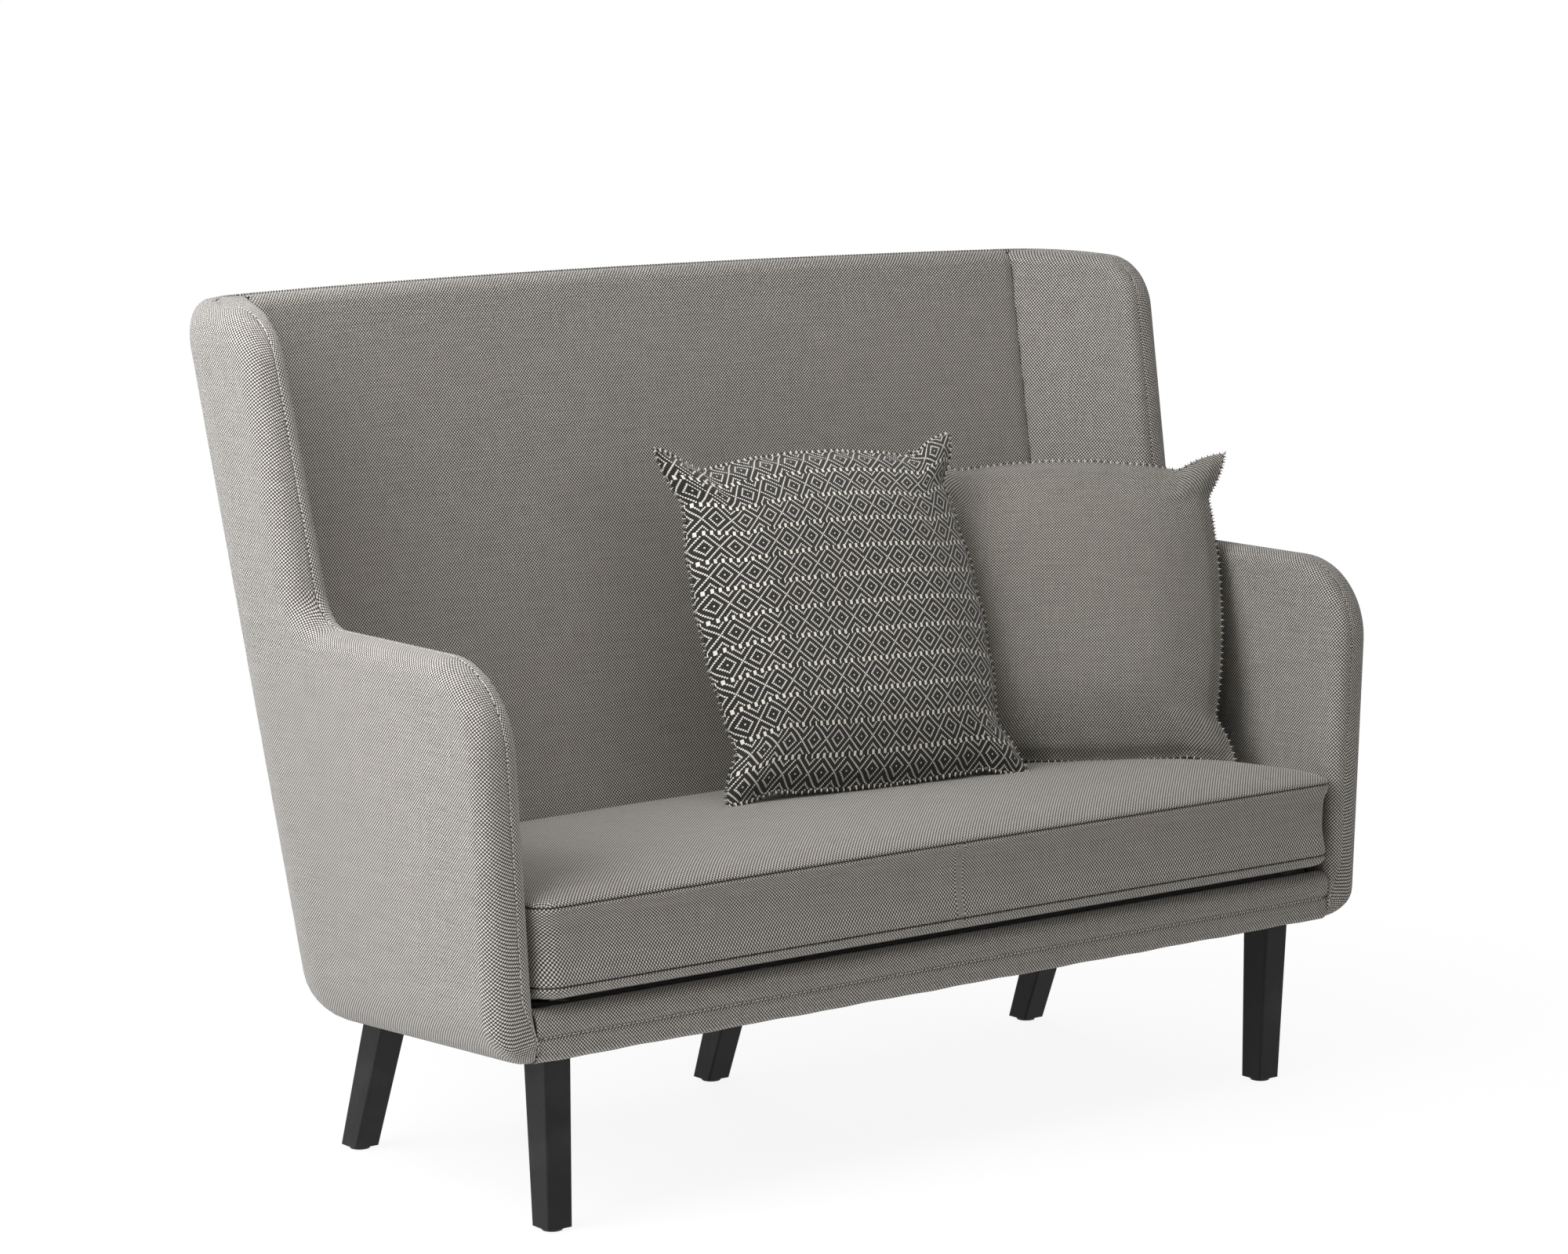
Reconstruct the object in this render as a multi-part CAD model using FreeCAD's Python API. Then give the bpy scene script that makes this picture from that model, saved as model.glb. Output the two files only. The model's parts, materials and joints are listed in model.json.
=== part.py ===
import FreeCAD, Part

import os
from math import cos, pi, radians, sin, sqrt, tan

os.makedirs("parts", exist_ok=True)

# High-back two-seat sofa. Millimetres, +Z up, the front faces -Y.
# The model is built with y = 0 at the foot of the arm fronts, then moved so that the origin
# is the middle of the whole sofa's footprint on the floor.

Vector = FreeCAD.Vector

# Driving dimensions of the upholstered shell
underside_height = 225.0
seat_slope = 3.0
shell_height = 1105.0
base_width = 1433.0
base_depth = 562.5
side_lean = 3.0
back_rake = 13.3
back_curve_radius = 3600.0
rear_corner_radius = 130.0
arm_height = 713.0
arm_front_lean = 0.8
wing_setback = 397.0
wing_lean = 12.0
top_slope = 1.5
arm_corner_radius = 112.0
elbow_radius = 55.0
wing_corner_radius = 82.0
rim_radius = 28.0
inner_rim_radius = 12.0
sill_radius = 60.0

# Layers of the shell's wall, from the outside in
wall_thickness = 60.0
outer_layer = 40.0
panel_thickness = 18.0
panel_rim_margin = 34.0
panel_sill_margin = 22.0
panel_neck_width = 97.0
panel_cover = 8.0
corner_post_lap = 60.0
crease_inset = 128.0
wing_slant_depth = 140.0
wing_bend_radius = 90.0

# Base frame under the seat
rail_thickness = 25.0
rail_height = 52.5
rail_lift = 7.0
front_rail_setback = 17.0
centre_rail_width = 70.0
corner_block_size = 110.0
corner_block_chamfer = 45.0

# Back frame
back_rail_width = 70.0
lumbar_rail_height = 640.0
back_post_width = 60.0
back_post_spacing = 700.0
top_rail_margin = 42.0

# Webbing, deck and dust cover
strap_width = 60.0
strap_thickness = 2.0
seat_strap_count = 9
back_strap_count = 5
deck_thickness = 8.0
dust_cover_thickness = 1.5

# Fabric-wrapped front rail
rail_cover_setback = 3.0
rail_cover_return = 15.0
rail_cover_skin = 2.0
rail_cover_roll = 9.0
rail_seam_height = 32.0
rail_seam_depth = 2.0

# Legs
leg_foot = 36.0
leg_top_width = 39.0
leg_top_depth = 47.0
leg_edge_radius = 3.0
front_leg_inset = 121.5
front_leg_setback = 65.0
front_leg_splay = 6.0
rear_leg_inset = 144.0
rear_foot_inset = 34.5
rear_leg_rake = 20.0
glide_diameter = 26.0
glide_thickness = 4.0
leg_plate_size = 62.0
leg_plate_thickness = 6.0
leg_bolt_diameter = 8.0
leg_bolt_in_leg = 45.0
leg_bolt_in_block = 30.0

# Bolts that hold the side panels to the base
frame_bolt_diameter = 8.0
frame_bolt_head_diameter = 16.0
frame_bolt_head_height = 4.0
frame_bolt_setbacks = (175.0, 240.0, 305.0)
frame_bolt_height = 43.0

# Lightening holes in the plywood side panels
panel_hole_diameter = 110.0
panel_hole_shares = (0.31, 0.64, 0.97)
panel_hole_height = 560.0

# Seat cushion
cushion_overhang = 9.0
cushion_seam_low = 24.0
cushion_seam_high = 122.0
cushion_crown = 28.0
cushion_gap = 4.0
cushion_front_radius = 28.0
cushion_foot_inset = 12.0
cushion_wadding = 14.0
cushion_spread = 190.0
cushion_crown_steps = 4

# Scatter pillows: side between the tips, thickness, place of the middle, turn and lean.
# The rise is from the level of the seat cushion's crown at the arm fronts.
plain_pillow_side = 440.0
plain_pillow_thickness = 116.0
plain_pillow_from_side = 238.0
plain_pillow_from_back = 238.0
plain_pillow_rise = 189.6
plain_pillow_turn = -36.0
plain_pillow_lean = 22.0
patterned_pillow_side = 468.0
patterned_pillow_thickness = 116.0
patterned_pillow_from_middle = 106.0
patterned_pillow_from_back = 196.0
patterned_pillow_rise = 201.6
patterned_pillow_turn = -8.0
patterned_pillow_lean = 24.5
pillow_drawn_in = 16.0
pillow_edge_thickness = 4.0
pillow_wadding = 10.0
pillow_spread = 0.82
pillow_crown_bow = 12.0
pillow_ring_steps = 5

# Clearances
touch_clearance = 0.3
bolt_clearance = 0.3
arm_clearance = 2.0

# Levels and reaches that enclose the whole shell while it is cut to shape
low_level = 100.0
high_level = shell_height + 75.0
front_reach = -150.0
rear_reach = 1200.0
side_reach = 1000.0

lean = tan(radians(side_lean))
rake = tan(radians(back_rake))
slope = tan(radians(seat_slope))

# Places that follow from the driving dimensions
panel_depth = wing_setback - (arm_height - underside_height) * tan(radians(wing_lean)) + panel_neck_width
front_leg_spacing = base_width - 2 * front_leg_inset
rear_leg_spacing = base_width - 2 * rear_leg_inset
rear_leg_setback = base_depth - rear_foot_inset
rail_top = rail_lift + rail_height
strap_top = rail_top + strap_thickness
deck_top = strap_top + deck_thickness
plate_top = rail_lift - dust_cover_thickness
leg_top = plate_top - leg_plate_thickness
front_rail_back = front_rail_setback + rail_thickness
side_rail_end = panel_depth - corner_post_lap
crown_level = underside_height + deck_top + touch_clearance + cushion_seam_high + cushion_crown
plain_pillow_place = (
    base_width / 2 - plain_pillow_from_side,
    base_depth - plain_pillow_from_back,
    crown_level + plain_pillow_rise,
)
patterned_pillow_place = (
    patterned_pillow_from_middle,
    base_depth - patterned_pillow_from_back,
    crown_level + patterned_pillow_rise,
)


# Small helpers for outlines and solids
def line(start, end):
    return Part.LineSegment(start, end).toShape()


def arc(start, middle, end):
    return Part.Arc(start, middle, end).toShape()


def plate(points):
    return Part.Face(Part.makePolygon(points + [points[0]]))


def middle_of(edge):
    return edge.valueAt((edge.FirstParameter + edge.LastParameter) / 2)


def lies_on(shape, point):
    return shape.distToShape(Part.Vertex(point))[0] < 0.001


def crossing(first, second):
    """Point where two lines, each a point and a direction in the side view, cross."""
    (py, pz), (dy, dz) = first
    (qy, qz), (ey, ez) = second
    along = ((qy - py) * -ez + ey * (qz - pz)) / (dy * -ez + ey * dz)
    return (py + along * dy, pz + along * dz)


def moved_in(side, distance):
    """The line moved to its left by a distance, which is inwards on a counterclockwise outline."""
    (py, pz), (dy, dz) = side
    return ((py - dz * distance, pz + dy * distance), (dy, dz))


def rounded_wire(corners, place):
    """Closed outline through corners (a, b, radius), with place(a, b) giving the point in space."""
    ends = []
    count = len(corners)
    for index, (a, b, radius) in enumerate(corners):
        corner = place(a, b)
        before = place(*corners[index - 1][:2])
        after = place(*corners[(index + 1) % count][:2])
        if radius <= 0:
            ends.append((corner, None, corner))
            continue
        back = (before - corner).normalize()
        ahead = (after - corner).normalize()
        half = back.getAngle(ahead) / 2
        inward = (back + ahead).normalize()
        centre = corner + inward * (radius / sin(half))
        reach = radius / tan(half)
        ends.append((corner + back * reach, centre - inward * radius, corner + ahead * reach))
    edges = []
    for index, (start, middle, end) in enumerate(ends):
        if middle is not None:
            edges.append(arc(start, middle, end))
        edges.append(line(end, ends[(index + 1) % count][0]))
    return Part.Wire(edges)


def side_view(y, z):
    return Vector(-side_reach, y, z)


def across(wire):
    """The side-view outline run across the whole width."""
    return Part.Face(wire).extrude(Vector(2 * side_reach, 0, 0))


def ruled(wires):
    return Part.makeLoft(wires, True, True)


def mirrored(shape):
    return shape.mirror(Vector(0, 0, 0), Vector(1, 0, 0))


def half_of(shape, sign):
    """The part of a shape on the left, -1, or right, +1, of the middle."""
    box = Part.makeBox(side_reach, rear_reach - front_reach, high_level, Vector(0, front_reach, 0))
    return shape.common(box if sign > 0 else mirrored(box))


# Lines of the side view: the foot, back end, top, wing, arm and front, counterclockwise
def heading(degrees_from_upright):
    return (sin(radians(degrees_from_upright)), cos(radians(degrees_from_upright)))


def underside_at(y):
    return underside_height - y * slope


def half_width(level):
    return base_width / 2 + (level - underside_height) * lean


def back_at(level):
    return base_depth + (level - underside_height) * rake


top_edge_depth = back_at(shell_height)
arm_up = heading(arm_front_lean)
wing_up = heading(wing_lean)
foot_line = ((0.0, underside_height), (cos(radians(seat_slope)), -sin(radians(seat_slope))))
top_line = ((top_edge_depth, shell_height), (-cos(radians(top_slope)), -sin(radians(top_slope))))
wing_line = ((wing_setback, arm_height), (-wing_up[0], -wing_up[1]))
arm_line = ((0.0, arm_height), (-1.0, 0.0))
front_line = ((0.0, underside_height), (-arm_up[0], -arm_up[1]))
rear_line = ((rear_reach, 0.0), (0.0, 1.0))


def shell_outline(rim_inset, foot_inset, rear):
    """Side-view outline of arm, wing and back, pulled in from the rim and the foot."""
    foot = moved_in(foot_line, foot_inset)
    top = moved_in(top_line, rim_inset)
    wing = moved_in(wing_line, rim_inset)
    arm = moved_in(arm_line, rim_inset)
    front = moved_in(front_line, rim_inset)
    corners = [
        (*crossing(front, foot), 0),
        (*crossing(foot, rear), 0),
        (*crossing(rear, top), 0),
        (*crossing(top, wing), wing_corner_radius - rim_inset),
        (*crossing(wing, arm), elbow_radius + rim_inset),
        (*crossing(arm, front), arm_corner_radius - rim_inset),
    ]
    return rounded_wire(corners, side_view)


def seat_slab(bottom, top, front=front_reach, rear=rear_reach):
    """Layer that follows the seat's slope, between two heights above the underside."""
    points = [
        side_view(front, underside_at(front) + bottom),
        side_view(rear, underside_at(rear) + bottom),
        side_view(rear, underside_at(rear) + top),
        side_view(front, underside_at(front) + top),
    ]
    return plate(points).extrude(Vector(2 * side_reach, 0, 0))


# The space inside the shell's wall at a given depth from the outside
def between_sides(inset):
    """Wedge between the two leaning sides."""
    pulled = inset / cos(radians(side_lean))
    low = half_width(low_level) - pulled
    high = half_width(high_level) - pulled
    points = [
        Vector(-low, front_reach, low_level),
        Vector(low, front_reach, low_level),
        Vector(high, front_reach, high_level),
        Vector(-high, front_reach, high_level),
    ]
    return plate(points).extrude(Vector(0, rear_reach - front_reach, 0))


def before_back(inset):
    """Everything in front of the raked, gently curved back."""
    up_the_back = Vector(0, sin(radians(back_rake)), cos(radians(back_rake)))
    out_of_back = Vector(0, cos(radians(back_rake)), -sin(radians(back_rake)))
    centre = Vector(0, base_depth, underside_height) - out_of_back * back_curve_radius
    reach = 2 * shell_height
    return Part.makeCylinder(back_curve_radius - inset, 2 * reach, centre - up_the_back * reach, up_the_back)


def inside_of_wall(inset):
    """The shell's whole bulk pulled in by a depth, with its rear corners rounded."""
    bulk = between_sides(inset).common(before_back(inset))
    upright = []
    for edge in bulk.Edges:
        middle = middle_of(edge)
        at_rear = middle.y > wing_setback / 2 and abs(middle.x) > base_width / 4
        if at_rear and low_level + 1 < middle.z < high_level - 1:
            upright.append(edge)
    return bulk.makeFillet(rear_corner_radius - inset, upright)


def crease_place(gap):
    """Plan place, at the underside's level, of the crease between wing and back inside the shell."""
    x = base_width / 2 - crease_inset - gap
    radius = back_curve_radius - wall_thickness - gap
    apex = base_depth - (wall_thickness + gap) / cos(radians(back_rake))
    return x, apex - radius + sqrt(radius ** 2 - x ** 2)


def wing_filler(gap):
    """Corner wedge that slants each inner wing from the side to the crease."""
    x, y = crease_place(gap)
    side_x = base_width / 2 - wall_thickness - gap
    drop = low_level - underside_height
    shift = Vector(drop * lean, drop * rake, low_level)
    points = [
        Vector(side_x, y - wing_slant_depth, 0) + shift,
        Vector(x, y, 0) + shift,
        Vector(x, y + rear_corner_radius, 0) + shift,
        Vector(side_x + rear_corner_radius, y + rear_corner_radius, 0) + shift,
        Vector(side_x + rear_corner_radius, y - wing_slant_depth, 0) + shift,
    ]
    rise = high_level - low_level
    wedge = plate(points).extrude(Vector(rise * lean, rise * rake, rise))
    return Part.makeCompound([wedge, mirrored(wedge)])


def seating_space(gap):
    """The hollow that people sit in, pulled in from the upholstery by a gap."""
    depth = wall_thickness + gap
    hollow = between_sides(depth).common(before_back(depth)).cut(wing_filler(gap))
    bends = []
    for edge in hollow.Edges:
        middle = middle_of(edge)
        on_side_plane = abs(abs(middle.x) - half_width(middle.z) + depth / cos(radians(side_lean))) < 1.0
        if on_side_plane and wing_setback / 4 < middle.y < rear_reach - 1 and abs(middle.z - low_level) > 1:
            if abs(middle.z - high_level) > 1:
                bends.append(edge)
    return hollow.makeFillet(wing_bend_radius, bends)


def between_creases(inset):
    """Wedge that parts the back from the two sides, along the creases."""
    return between_sides(crease_inset + inset)


# Shell blank with rounded sills and rims
def fillet_on(solid, radius, skins, wanted):
    """Round the edges where the outline meets a skin, if the edge's middle is wanted."""
    chosen = []
    for edge in solid.Edges:
        middle = middle_of(edge)
        if wanted(middle) and all(lies_on(skin, middle) for skin in skins):
            chosen.append(edge)
    return solid.makeFillet(radius, chosen)


def side_faces(solid):
    """Faces of a side-view prism other than its two ends."""
    return Part.makeCompound([face for face in solid.Faces if abs(face.normalAt(0.5, 0.5).x) < 0.5])


def upright_faces(solid):
    """Outer faces of a bulk, without its top, bottom and front."""
    kept = []
    for face in solid.Faces:
        level_face = abs(face.normalAt(0.5, 0.5).z) > 0.95
        if not level_face and face.CenterOfMass.y > front_reach + 1:
            kept.append(face)
    return Part.makeCompound(kept)


def is_low(point):
    return point.z < underside_at(point.y) + 1.0


bulk = inside_of_wall(0.0)
outline = across(shell_outline(0.0, 0.0, rear_line))
blank = bulk.common(outline)
skins = [side_faces(outline), upright_faces(bulk)]
blank = fillet_on(blank, sill_radius, skins, is_low)
sill_skin = upright_faces(blank)
blank = fillet_on(blank, rim_radius, [side_faces(outline), sill_skin], lambda point: not is_low(point))


# Upholstery layers
space = seating_space(0.0)
wall = blank.cut(space)
inner_bulk = inside_of_wall(outer_layer)
outer_wall = wall.cut(inner_bulk)
back_zone = between_creases(0.0)


def on_side(y, height, inset):
    """Point on the right-hand side at a height above the underside, at a depth in the wall."""
    level = underside_at(y) + height
    return Vector(half_width(level) - inset / cos(radians(side_lean)), y, level)


out_of_side = Vector(cos(radians(side_lean)), 0, -sin(radians(side_lean)))


# Plywood side panels with lightening holes
def frame_bolt_holes(clearance):
    holes = []
    for setback in frame_bolt_setbacks:
        start = on_side(setback, frame_bolt_height, outer_layer + rail_thickness + frame_bolt_head_height)
        length = frame_bolt_head_height + rail_thickness + panel_thickness + touch_clearance
        holes.append(Part.makeCylinder(frame_bolt_diameter / 2 + clearance, length, start, out_of_side))
    return holes


def make_side_panel():
    rear = ((panel_depth, underside_height), heading(back_rake))
    sheet = across(shell_outline(panel_rim_margin, panel_sill_margin, rear))
    layer = between_sides(outer_layer - panel_thickness).cut(between_sides(outer_layer))
    panel = half_of(sheet.common(layer).common(inside_of_wall(panel_cover)), 1)
    for share in panel_hole_shares:
        centre = on_side(share * panel_depth, panel_hole_height - underside_height, 2 * outer_layer)
        panel = panel.cut(Part.makeCylinder(panel_hole_diameter / 2, 3 * outer_layer, centre, out_of_side))
    for hole in frame_bolt_holes(bolt_clearance):
        panel = panel.cut(hole)
    return panel


def make_frame_bolts():
    """Bolts that run from inside the side rails into the side panels."""
    bolts = []
    for setback in frame_bolt_setbacks:
        head_end = on_side(setback, frame_bolt_height, outer_layer + rail_thickness + frame_bolt_head_height)
        head = Part.makeCylinder(frame_bolt_head_diameter / 2, frame_bolt_head_height, head_end, out_of_side)
        length = frame_bolt_head_height + rail_thickness + panel_thickness
        bolts.append(head.fuse(Part.makeCylinder(frame_bolt_diameter / 2, length, head_end, out_of_side)))
    return Part.makeCompound(bolts + [mirrored(bolt) for bolt in bolts])


# Frame of the back, inside the outer layer
back_layer = inside_of_wall(outer_layer - panel_thickness).cut(inner_bulk)


def back_band(bottom, top):
    """Strip of the back's frame layer between two levels."""
    box = Part.makeBox(2 * side_reach, rear_reach, top - bottom, Vector(-side_reach, 0, bottom))
    return back_layer.common(box).common(between_creases(touch_clearance))


def make_corner_post():
    """Bent corner that joins a side panel to the back rails."""
    rear = ((panel_depth, underside_height), heading(back_rake))
    foot = moved_in(foot_line, panel_sill_margin)
    top = moved_in(top_line, top_rail_margin)
    corners = [
        (*crossing(rear, foot), 0),
        (*crossing(foot, rear_line), 0),
        (*crossing(rear_line, top), 0),
        (*crossing(rear, top), 0),
    ]
    zone = across(rounded_wire(corners, side_view))
    return half_of(back_layer.common(zone).cut(between_creases(0.0)), 1)


lower_rail_bottom = underside_at(base_depth) + deck_top
lower_rail_top = lower_rail_bottom + back_rail_width
top_rail_top = shell_height - top_rail_margin
top_rail_bottom = top_rail_top - back_rail_width


def make_back_post():
    """Upright between the lower and top rails of the back."""
    band = back_band(lower_rail_top, top_rail_bottom)
    x = back_post_spacing / 2 - back_post_width / 2
    box = Part.makeBox(back_post_width, rear_reach, high_level, Vector(x, 0, 0))
    return band.common(box)


# Base frame
def make_side_rail():
    layer = between_sides(outer_layer).cut(between_sides(outer_layer + rail_thickness))
    rail = half_of(layer.common(seat_slab(rail_lift, rail_top, front_rail_back, side_rail_end)), 1)
    for hole in frame_bolt_holes(bolt_clearance):
        rail = rail.cut(hole)
    return rail


def make_front_rail():
    return inner_bulk.common(seat_slab(rail_lift, rail_top, front_rail_setback, front_rail_back))


def make_rear_rail():
    layer = before_back(outer_layer).cut(before_back(outer_layer + rail_thickness))
    rear_half = Part.makeBox(2 * side_reach, rear_reach, high_level, Vector(-side_reach, wing_setback / 2, 0))
    return layer.common(rear_half).common(back_zone).common(inner_bulk).common(seat_slab(rail_lift, rail_top))


def prism_of(points):
    """Plan outline, right-hand side, run through the height of the base."""
    return plate([Vector(x, y, 0) for x, y in points]).extrude(Vector(0, 0, high_level))


def front_block():
    inner = front_leg_spacing / 2 - corner_block_size / 2
    rear = front_rail_back + corner_block_size
    cut = corner_block_chamfer
    points = [
        (inner, front_rail_back),
        (side_reach, front_rail_back),
        (side_reach, rear),
        (inner + cut, rear),
        (inner, rear - cut),
    ]
    zone = prism_of(points).common(between_sides(outer_layer + rail_thickness))
    return zone.common(seat_slab(rail_lift, rail_top))


def rear_block(rear_rail):
    inner = rear_leg_spacing / 2 - corner_block_size / 2
    cut = corner_block_chamfer
    front = rear_leg_top.y - corner_block_size / 2
    points = [
        (inner, front + cut),
        (inner + cut, front),
        (inner + corner_block_size, front),
        (inner + corner_block_size, side_rail_end),
        (side_reach, side_rail_end),
        (side_reach, rear_reach),
        (inner, rear_reach),
    ]
    zone = prism_of(points).common(inner_bulk).common(seat_slab(rail_lift, rail_top))
    return zone.cut(rear_rail)


def make_centre_rail():
    box = Part.makeBox(
        centre_rail_width, rear_reach, high_level, Vector(-centre_rail_width / 2, front_rail_back, 0)
    )
    return box.common(before_back(outer_layer + rail_thickness)).common(seat_slab(rail_lift, rail_top))


# Legs, each from its foot on the floor to its seat under the base
def seat_of_leg(x, y):
    return Vector(x, y, underside_at(y) + leg_top)


front_leg_foot = Vector(front_leg_spacing / 2, front_leg_setback, glide_thickness)
front_leg_top = seat_of_leg(front_leg_foot.x + front_leg_splay, front_leg_setback)
rear_leg_run = (underside_at(rear_leg_setback) + leg_top - glide_thickness) * tan(radians(rear_leg_rake))
rear_leg_run = rear_leg_run / (1 - slope * tan(radians(rear_leg_rake)))
rear_leg_foot = Vector(rear_leg_spacing / 2, rear_leg_setback, glide_thickness)
rear_leg_top = seat_of_leg(rear_leg_foot.x, rear_leg_setback - rear_leg_run)
centre_leg_foot = Vector(0, rear_leg_foot.y, glide_thickness)
centre_leg_top = Vector(0, rear_leg_top.y, rear_leg_top.z)


def rectangle(width, depth, middle, height_at):
    """Rounded rectangle about a point, with height_at(y) giving the height of each point."""
    corners = [
        (-width / 2, -depth / 2, leg_edge_radius),
        (width / 2, -depth / 2, leg_edge_radius),
        (width / 2, depth / 2, leg_edge_radius),
        (-width / 2, depth / 2, leg_edge_radius),
    ]
    return rounded_wire(corners, lambda x, y: Vector(middle.x + x, middle.y + y, height_at(middle.y + y)))


def leg_bolt(foot, top, radius):
    along = (top - foot).normalize()
    start = top - along * leg_bolt_in_leg
    return Part.makeCylinder(radius, leg_bolt_in_leg + leg_bolt_in_block, start, along)


def make_leg(foot, top):
    bottom = rectangle(leg_foot, leg_foot, foot, lambda y: glide_thickness)
    upper = rectangle(leg_top_width, leg_top_depth, top, lambda y: underside_at(y) + leg_top)
    return ruled([bottom, upper]).cut(leg_bolt(foot, top, leg_bolt_diameter / 2 + bolt_clearance))


def leg_plate(foot, top):
    corner = Vector(top.x - leg_plate_size / 2, top.y - leg_plate_size / 2, 0)
    square = Part.makeBox(leg_plate_size, leg_plate_size, high_level, corner)
    upright = [edge for edge in square.Edges if abs(edge.tangentAt(edge.FirstParameter).z) > 0.5]
    square = square.makeFillet(2 * leg_edge_radius, upright)
    sheet = square.common(seat_slab(leg_top, plate_top)).common(inside_of_wall(outer_layer + touch_clearance))
    return sheet.cut(leg_bolt(foot, top, leg_bolt_diameter / 2 + bolt_clearance))


def across_pair(place):
    return Vector(-place.x, place.y, place.z)


leg_places = {
    "front_leg_left": (across_pair(front_leg_foot), across_pair(front_leg_top)),
    "front_leg_right": (front_leg_foot, front_leg_top),
    "rear_leg_left": (across_pair(rear_leg_foot), across_pair(rear_leg_top)),
    "rear_leg_centre": (centre_leg_foot, centre_leg_top),
    "rear_leg_right": (rear_leg_foot, rear_leg_top),
}


def drilled(shape):
    """A piece of the base with the leg bolts' holes through it."""
    for foot, top in leg_places.values():
        shape = shape.cut(leg_bolt(foot, top, leg_bolt_diameter / 2 + bolt_clearance))
    return shape


# Fabric-wrapped front rail
def make_front_rail_cover():
    front = rail_cover_setback
    back = front_rail_setback
    tail = back + rail_cover_return
    seam = rail_seam_height
    corners = [
        (front, 0.0, rail_cover_roll),
        (back, 0.0, 0),
        (back, rail_lift - rail_cover_skin, 0),
        (tail, rail_lift - rail_cover_skin, 0),
        (tail, rail_lift, 0),
        (back, rail_lift, 0),
        (back, deck_top, rail_seam_depth),
        (front, deck_top, rail_cover_roll),
        (front, seam + rail_seam_depth, 0),
        (front + rail_seam_depth, seam, 0),
        (front, seam - rail_seam_depth, 0),
    ]
    section = rounded_wire(corners, lambda y, height: side_view(y, underside_at(y) + height))
    return across(section).common(between_sides(wall_thickness + arm_clearance))


# Webbing, deck and dust cover
def make_seat_webbing():
    reach = base_width - 2 * (outer_layer + rail_thickness) - strap_width
    layer = seat_slab(rail_top, strap_top, front_rail_setback)
    layer = layer.common(inside_of_wall(outer_layer + touch_clearance))
    straps = []
    for index in range(seat_strap_count):
        x = -reach / 2 + index * reach / (seat_strap_count - 1) - strap_width / 2
        straps.append(layer.common(Part.makeBox(strap_width, rear_reach, high_level, Vector(x, 0, 0))))
    return Part.makeCompound(straps)


def make_back_webbing():
    layer = inner_bulk.cut(inside_of_wall(outer_layer + strap_thickness))
    layer = layer.common(between_creases(touch_clearance))
    pitch = (top_rail_bottom - lower_rail_top) / back_strap_count
    straps = []
    for index in range(back_strap_count):
        bottom = lower_rail_top + (index + 0.5) * pitch - strap_width / 2
        corner = Vector(-side_reach, wing_setback / 2, bottom)
        straps.append(layer.common(Part.makeBox(2 * side_reach, rear_reach, strap_width, corner)))
    return Part.makeCompound(straps)


def make_seat_deck():
    layer = seat_slab(strap_top, deck_top, front_rail_setback + touch_clearance)
    return layer.common(seating_space(touch_clearance))


def make_dust_cover():
    layer = seat_slab(plate_top, rail_lift, front_rail_setback + rail_cover_return + touch_clearance)
    return drilled(layer.common(inside_of_wall(sill_radius)))


# Seat cushion: rings that follow the arms and the back, stacked to a crown
def cushion_ring(height, inset):
    """Outline of the cushion at a height above the deck, pulled in by an inset."""
    front_level = underside_height + deck_top + touch_clearance + height

    def place(x, y):
        return Vector(x, y, front_level - slope * y)

    rise = front_level - slope * base_depth - underside_height
    crease_x, crease_y = crease_place(cushion_gap)
    crease = (crease_x + rise * lean, crease_y + rise * rake)
    radius = back_curve_radius - wall_thickness - cushion_gap
    apex = base_depth - (wall_thickness + cushion_gap) / cos(radians(back_rake)) + rise * rake
    slant_y = crease[1] - wing_slant_depth
    slant = (half_width(front_level - slope * slant_y) - wall_thickness - cushion_gap, slant_y)
    slant_length = sqrt((crease[0] - slant[0]) ** 2 + wing_slant_depth ** 2)
    slant_heading = ((crease[0] - slant[0]) / slant_length, wing_slant_depth / slant_length)
    back_heading = (-sqrt(1 - (crease[0] / radius) ** 2), crease[0] / radius)
    along_arm = moved_in((slant, (0.0, 1.0)), inset)
    along_wing = moved_in((slant, slant_heading), inset)
    along_back = moved_in((crease, back_heading), inset)
    slant_x, slant_y = crossing(along_arm, along_wing)
    crease_x, crease_y = crossing(along_wing, along_back)
    apex = apex - inset
    front_y = inset - cushion_overhang
    front_x = slant_x
    bend = cushion_front_radius
    turn = bend * (1 - cos(pi / 4))

    def front_corner(sign):
        return [
            place(sign * (front_x - bend), front_y),
            place(sign * (front_x - turn), front_y + turn),
            place(sign * front_x, front_y + bend),
        ]

    right = front_corner(1)
    left = front_corner(-1)
    right_slant = place(slant_x, slant_y)
    left_slant = place(-slant_x, slant_y)
    right_crease = place(crease_x, crease_y)
    left_crease = place(-crease_x, crease_y)
    edges = [
        line(left[0], right[0]),
        arc(*right),
        line(right[2], right_slant),
        line(right_slant, right_crease),
        arc(right_crease, place(0, apex), left_crease),
        line(left_crease, left_slant),
        line(left_slant, left[2]),
        arc(left[2], left[1], left[0]),
    ]
    return Part.Wire(edges)


def crown_rings(low, high, crown, foot_inset, margin):
    """Heights and insets of a boxed cushion with a crowned top, pulled in by a margin."""
    rings = [(margin, foot_inset + margin), (low, margin), (high, margin)]
    for step in range(1, cushion_crown_steps + 1):
        angle = pi / 2 * step / cushion_crown_steps
        height = high + (crown - margin) * sin(angle)
        rings.append((height, margin + cushion_spread * (1 - cos(angle))))
    return rings


def make_cushion(margin):
    rings = crown_rings(cushion_seam_low, cushion_seam_high, cushion_crown, cushion_foot_inset, margin)
    return ruled([cushion_ring(height, inset) for height, inset in rings])


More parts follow.
